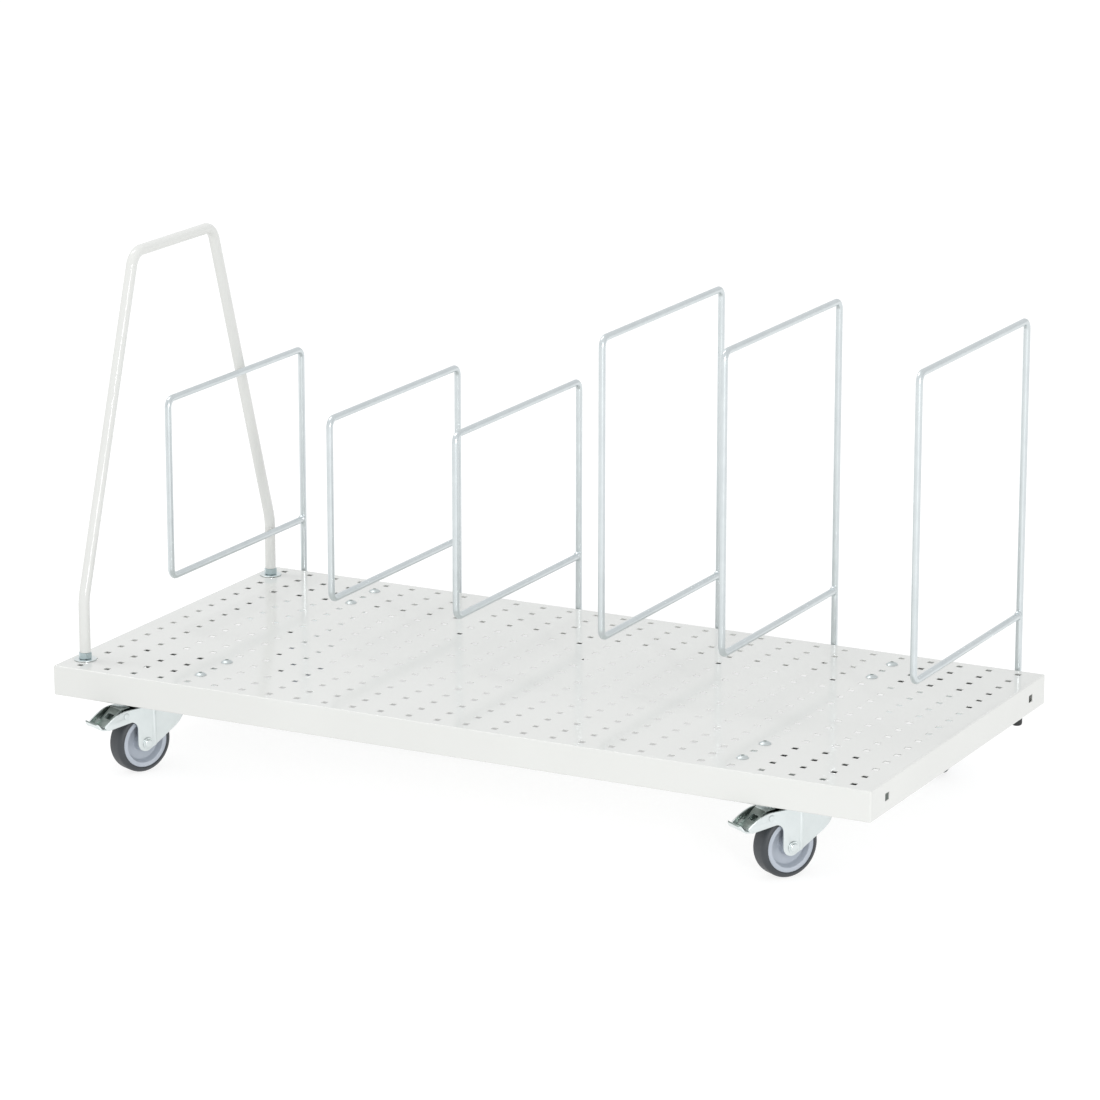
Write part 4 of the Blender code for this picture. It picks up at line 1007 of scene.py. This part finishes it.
def wire_socket():
    """A sleeve closed below, with a ribbed back plate and two barbed pegs, about its leg's foot line."""
    low = SOCKET_LOW.z - DECK_TOP
    top = SOCKET_HIGH.z - DECK_TOP
    floor = low + SOCKET_FLOOR
    bore = [(0.0, floor), (SOCKET_BORE, floor), (SOCKET_BORE, top - SOCKET_MOUTH)]
    outside = [(SOCKET_BORE + SOCKET_MOUTH, top), (SOCKET_RADIUS - SOCKET_EDGE, top),
               (SOCKET_RADIUS, top - SOCKET_EDGE)]
    outside += arc((SOCKET_RADIUS - SOCKET_ROUND, low + SOCKET_ROUND), SOCKET_ROUND, 0, -90, 6)
    sleeve = lathe("sleeve", bore + outside + [(0.0, low)], 48)
    face = -SOCKET_RADIUS
    back = prism("back", rounded_box(*SOCKET_PLATE, SOCKET_ROUND), 0.0, SOCKET_WALL)
    soften(back, EDGE_ROUND, 60)
    back.data.transform(Matrix.Translation((0.0, face + SOCKET_WALL, -SOCKET_PLATE_DROP))
                        @ Matrix.Rotation(math.pi / 2, 4, "X"))
    inside = face - 2 * GAP - SHEET
    half = PEG_WIDTH / 2
    barb = [(inside, -half - BARB_LIP), (inside, half + BARB_LIP), (inside - BARB, half - BARB_LIP),
            (inside - BARB, BARB_LIP - half)]
    for side in (-1, 1):
        x = side * PEG_SPACING / 2
        peg = block("peg", (x - half, inside - BARB / 2, -PEG_DROP - half),
                    (x + half, face + SOCKET_WALL / 2, half - PEG_DROP))
        hook = prism("barb", barb, x - PEG_WIDTH / 3, x + PEG_WIDTH / 3)
        hook.data.transform(Matrix.Translation((0.0, 0.0, -PEG_DROP))
                            @ Matrix(((0, 0, 1), (1, 0, 0), (0, 1, 0))).to_4x4())
        combine(peg, hook, "UNION")
        combine(back, peg, "UNION")
        root = side * SOCKET_RADIUS * 0.6
        tip = side * SOCKET_PLATE[0] * 0.42
        rib = [(root, face + LAP), (tip, face + LAP), (tip, face + SOCKET_WALL + 0.0004),
               (root, -SOCKET_BORE * 0.2)]
        stiffener = prism("rib", rib, -SOCKET_PLATE_DROP - RIB_HALF, -SOCKET_PLATE_DROP + RIB_HALF)
        combine(back, stiffener, "UNION")
    core = prism("core", circle(SOCKET_BORE, 48), floor, top + 0.01)
    combine(back, core, "DIFFERENCE")
    combine(sleeve, back, "UNION")
    return sleeve


BLACK_NYLON = moulded_plastic("nylon, black", "262728", "1C1D1E", 0.45, 0.001)
socket = wire_socket()
for number in range(1, 7):
    low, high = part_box(f"divider_{number}")
    leg = Vector(((low.x + high.x) / 2, high.y - WIRE_RADIUS, DECK_TOP))
    moulding = place_copy(socket, f"divider_{number}_nylon_socket", Matrix.Translation(leg))
    fit(moulding, BLACK_NYLON, "black_nylon", "frame", f"divider_socket_{number}")
bpy.data.objects.remove(socket)


# Wire dividers
# One length of 11 mm wire bent to a loop: up out of its socket, forward, down and back to the leg,
# where it is welded. The wire is zinc plated after welding. Three are short and three tall.
WIRE_BEND = 0.014
LOWER_BAR = 0.089
WELD_RADIUS = 0.0071
WELD_SHAPE = (1.0, 0.75, 1.1)


def wire_loop(number):
    """A divider where it stands, from the box of its solid."""
    low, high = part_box(f"divider_{number}")
    leg = Vector(((low.x + high.x) / 2, high.y - WIRE_RADIUS, low.z))
    height = high.z - WIRE_RADIUS - low.z
    reach = leg.y - low.y - WIRE_RADIUS
    drop = high.z - WIRE_RADIUS - DECK_TOP - LOWER_BAR
    wire = bent_bar("wire", WIRE_RADIUS, 20, leg, -1, [
        (height - WIRE_BEND, WIRE_BEND, 90),
        (reach - 2 * WIRE_BEND, WIRE_BEND, 90),
        (drop - 2 * WIRE_BEND, WIRE_BEND, 90),
        (reach - WIRE_BEND - WIRE_RADIUS * 0.6, 0.0, 0.0),
    ])
    alone()
    joint = (leg.x, leg.y - WIRE_RADIUS, DECK_TOP + LOWER_BAR)
    bpy.ops.mesh.primitive_uv_sphere_add(segments=20, ring_count=12, radius=WELD_RADIUS, location=joint,
                                         scale=WELD_SHAPE)
    bpy.ops.object.transform_apply()
    bead = bpy.context.object
    combine(wire, bead, "UNION")
    return wire


for number in range(1, 7):
    wire = wire_loop(number)
    wire.name = f"divider_{number}_wire"
    fit(wire, ZINC, "bright_zinc", f"divider_{number}", f"divider_{number}")


# Floor, light and camera
# A plain white studio floor that glows evenly, with a painted shadow under and behind the rack where its glow
# is dimmed, a pale sky that is a little brighter in front than behind, and two soft strips. The camera stands
# to the front right and looks down on the deck.
CAMERA_TO_DECK = Vector((3.3685, -6.4699, 2.1471))
CAMERA_AZIMUTH = math.radians(27.474)
CAMERA_PITCH = math.radians(14.965)
FOCAL_SHARE = 4771.9 / 1100
FLOOR_GLOW = 0.8
PAINTED_SHADOW_CORE = 0.75
PAINTED_SHADOW_BEHIND = ((-0.25, 0.5, 0.0), (1.0, 0.54, 1.0), 0.6)
PAINTED_SHADOW_UNDER = ((-0.27, 0.19, 0.0), (0.8, 0.18, 1.0), 0.55)
SKY_BACK = (0.5, 0.86, 0.0)
SKY_FRONT_GLOW = 1.04
SKY_BACK_GLOW = 0.88

alone()
bpy.ops.mesh.primitive_plane_add(size=80.0)
floor = bpy.context.object
floor.name = "studio_floor"
white = bpy.data.materials.new("white floor")
white.use_nodes = True
paint = white.node_tree.nodes["Principled BSDF"]
paint.inputs["Base Color"].default_value = linear("898989")
paint.inputs["Roughness"].default_value = 0.9
paint.inputs["Emission Color"].default_value = (1.0, 1.0, 1.0, 1.0)
ground = add(white.node_tree, "ShaderNodeTexCoord", {}, {}).outputs["Object"]
strength = FLOOR_GLOW
# Painted shadow: the floor's glow is dimmed in two soft pools, under the deck and behind it, where the rack's
# shadow would fall.
for middle, reach, least in (PAINTED_SHADOW_BEHIND, PAINTED_SHADOW_UNDER):
    spot = add(white.node_tree, "ShaderNodeMapping", {"vector_type": "TEXTURE"},
               {"Vector": ground, "Location": middle, "Scale": reach})
    painted_pool = add(white.node_tree, "ShaderNodeTexGradient", {"gradient_type": "SPHERICAL"},
               {"Vector": spot.outputs["Vector"]})
    fade = add(white.node_tree, "ShaderNodeMapRange", {"interpolation_type": "SMOOTHSTEP"},
               {"Value": painted_pool.outputs["Fac"], "From Max": PAINTED_SHADOW_CORE, "To Min": 1.0, "To Max": least})
    dimmed = add(white.node_tree, "ShaderNodeMath", {"operation": "MULTIPLY"},
                 {0: fade.outputs["Result"], 1: strength})
    strength = dimmed.outputs["Value"]
white.node_tree.links.new(strength, paint.inputs["Emission Strength"])
floor.data.materials.append(white)

sky = bpy.data.worlds.new("pale sky")
sky.use_nodes = True
sky.node_tree.nodes["Background"].inputs["Color"].default_value = (0.985, 0.99, 1.0, 1.0)
toward = add(sky.node_tree, "ShaderNodeTexCoord", {}, {}).outputs["Generated"]
behind = add(sky.node_tree, "ShaderNodeVectorMath", {"operation": "DOT_PRODUCT"}, {0: toward, 1: SKY_BACK})
glow = add(sky.node_tree, "ShaderNodeMapRange", {}, {"Value": behind.outputs["Value"], "From Min": -1.0,
                                                     "To Min": SKY_FRONT_GLOW, "To Max": SKY_BACK_GLOW})
sky.node_tree.links.new(glow.outputs["Result"], sky.node_tree.nodes["Background"].inputs["Strength"])
bpy.context.scene.world = sky
aim = DECK_MIDDLE + Vector((0.0, 0.0, 0.2))
for name, place, size, power in (("key strip", (4.4, -4.7, 2.1), (0.4, 2.4), 120.0),
                                 ("fold strip", (-1.9, -0.1, 3.6), (0.8, 2.0), 26.0)):
    bpy.ops.object.light_add(type="AREA", location=place)
    lamp = bpy.context.object
    lamp.name = name
    lamp.data.shape = "RECTANGLE"
    lamp.data.size = size[0]
    lamp.data.size_y = size[1]
    lamp.data.energy = power
    lamp.rotation_euler = (aim - Vector(place)).to_track_quat("-Z", "Y").to_euler()

bpy.ops.object.camera_add(location=Vector((DECK_MIDDLE.x, DECK_MIDDLE.y, DECK_TOP)) + CAMERA_TO_DECK)
camera = bpy.context.object
level = math.cos(CAMERA_PITCH)
ahead = Vector((-math.sin(CAMERA_AZIMUTH) * level, math.cos(CAMERA_AZIMUTH) * level, -math.sin(CAMERA_PITCH)))
camera.rotation_euler = ahead.to_track_quat("-Z", "Y").to_euler()
camera.data.sensor_width = 36.0
camera.data.lens = FOCAL_SHARE * camera.data.sensor_width
camera.data.clip_end = 200.0
bpy.context.scene.camera = camera
bpy.context.scene.view_settings.view_transform = "Standard"
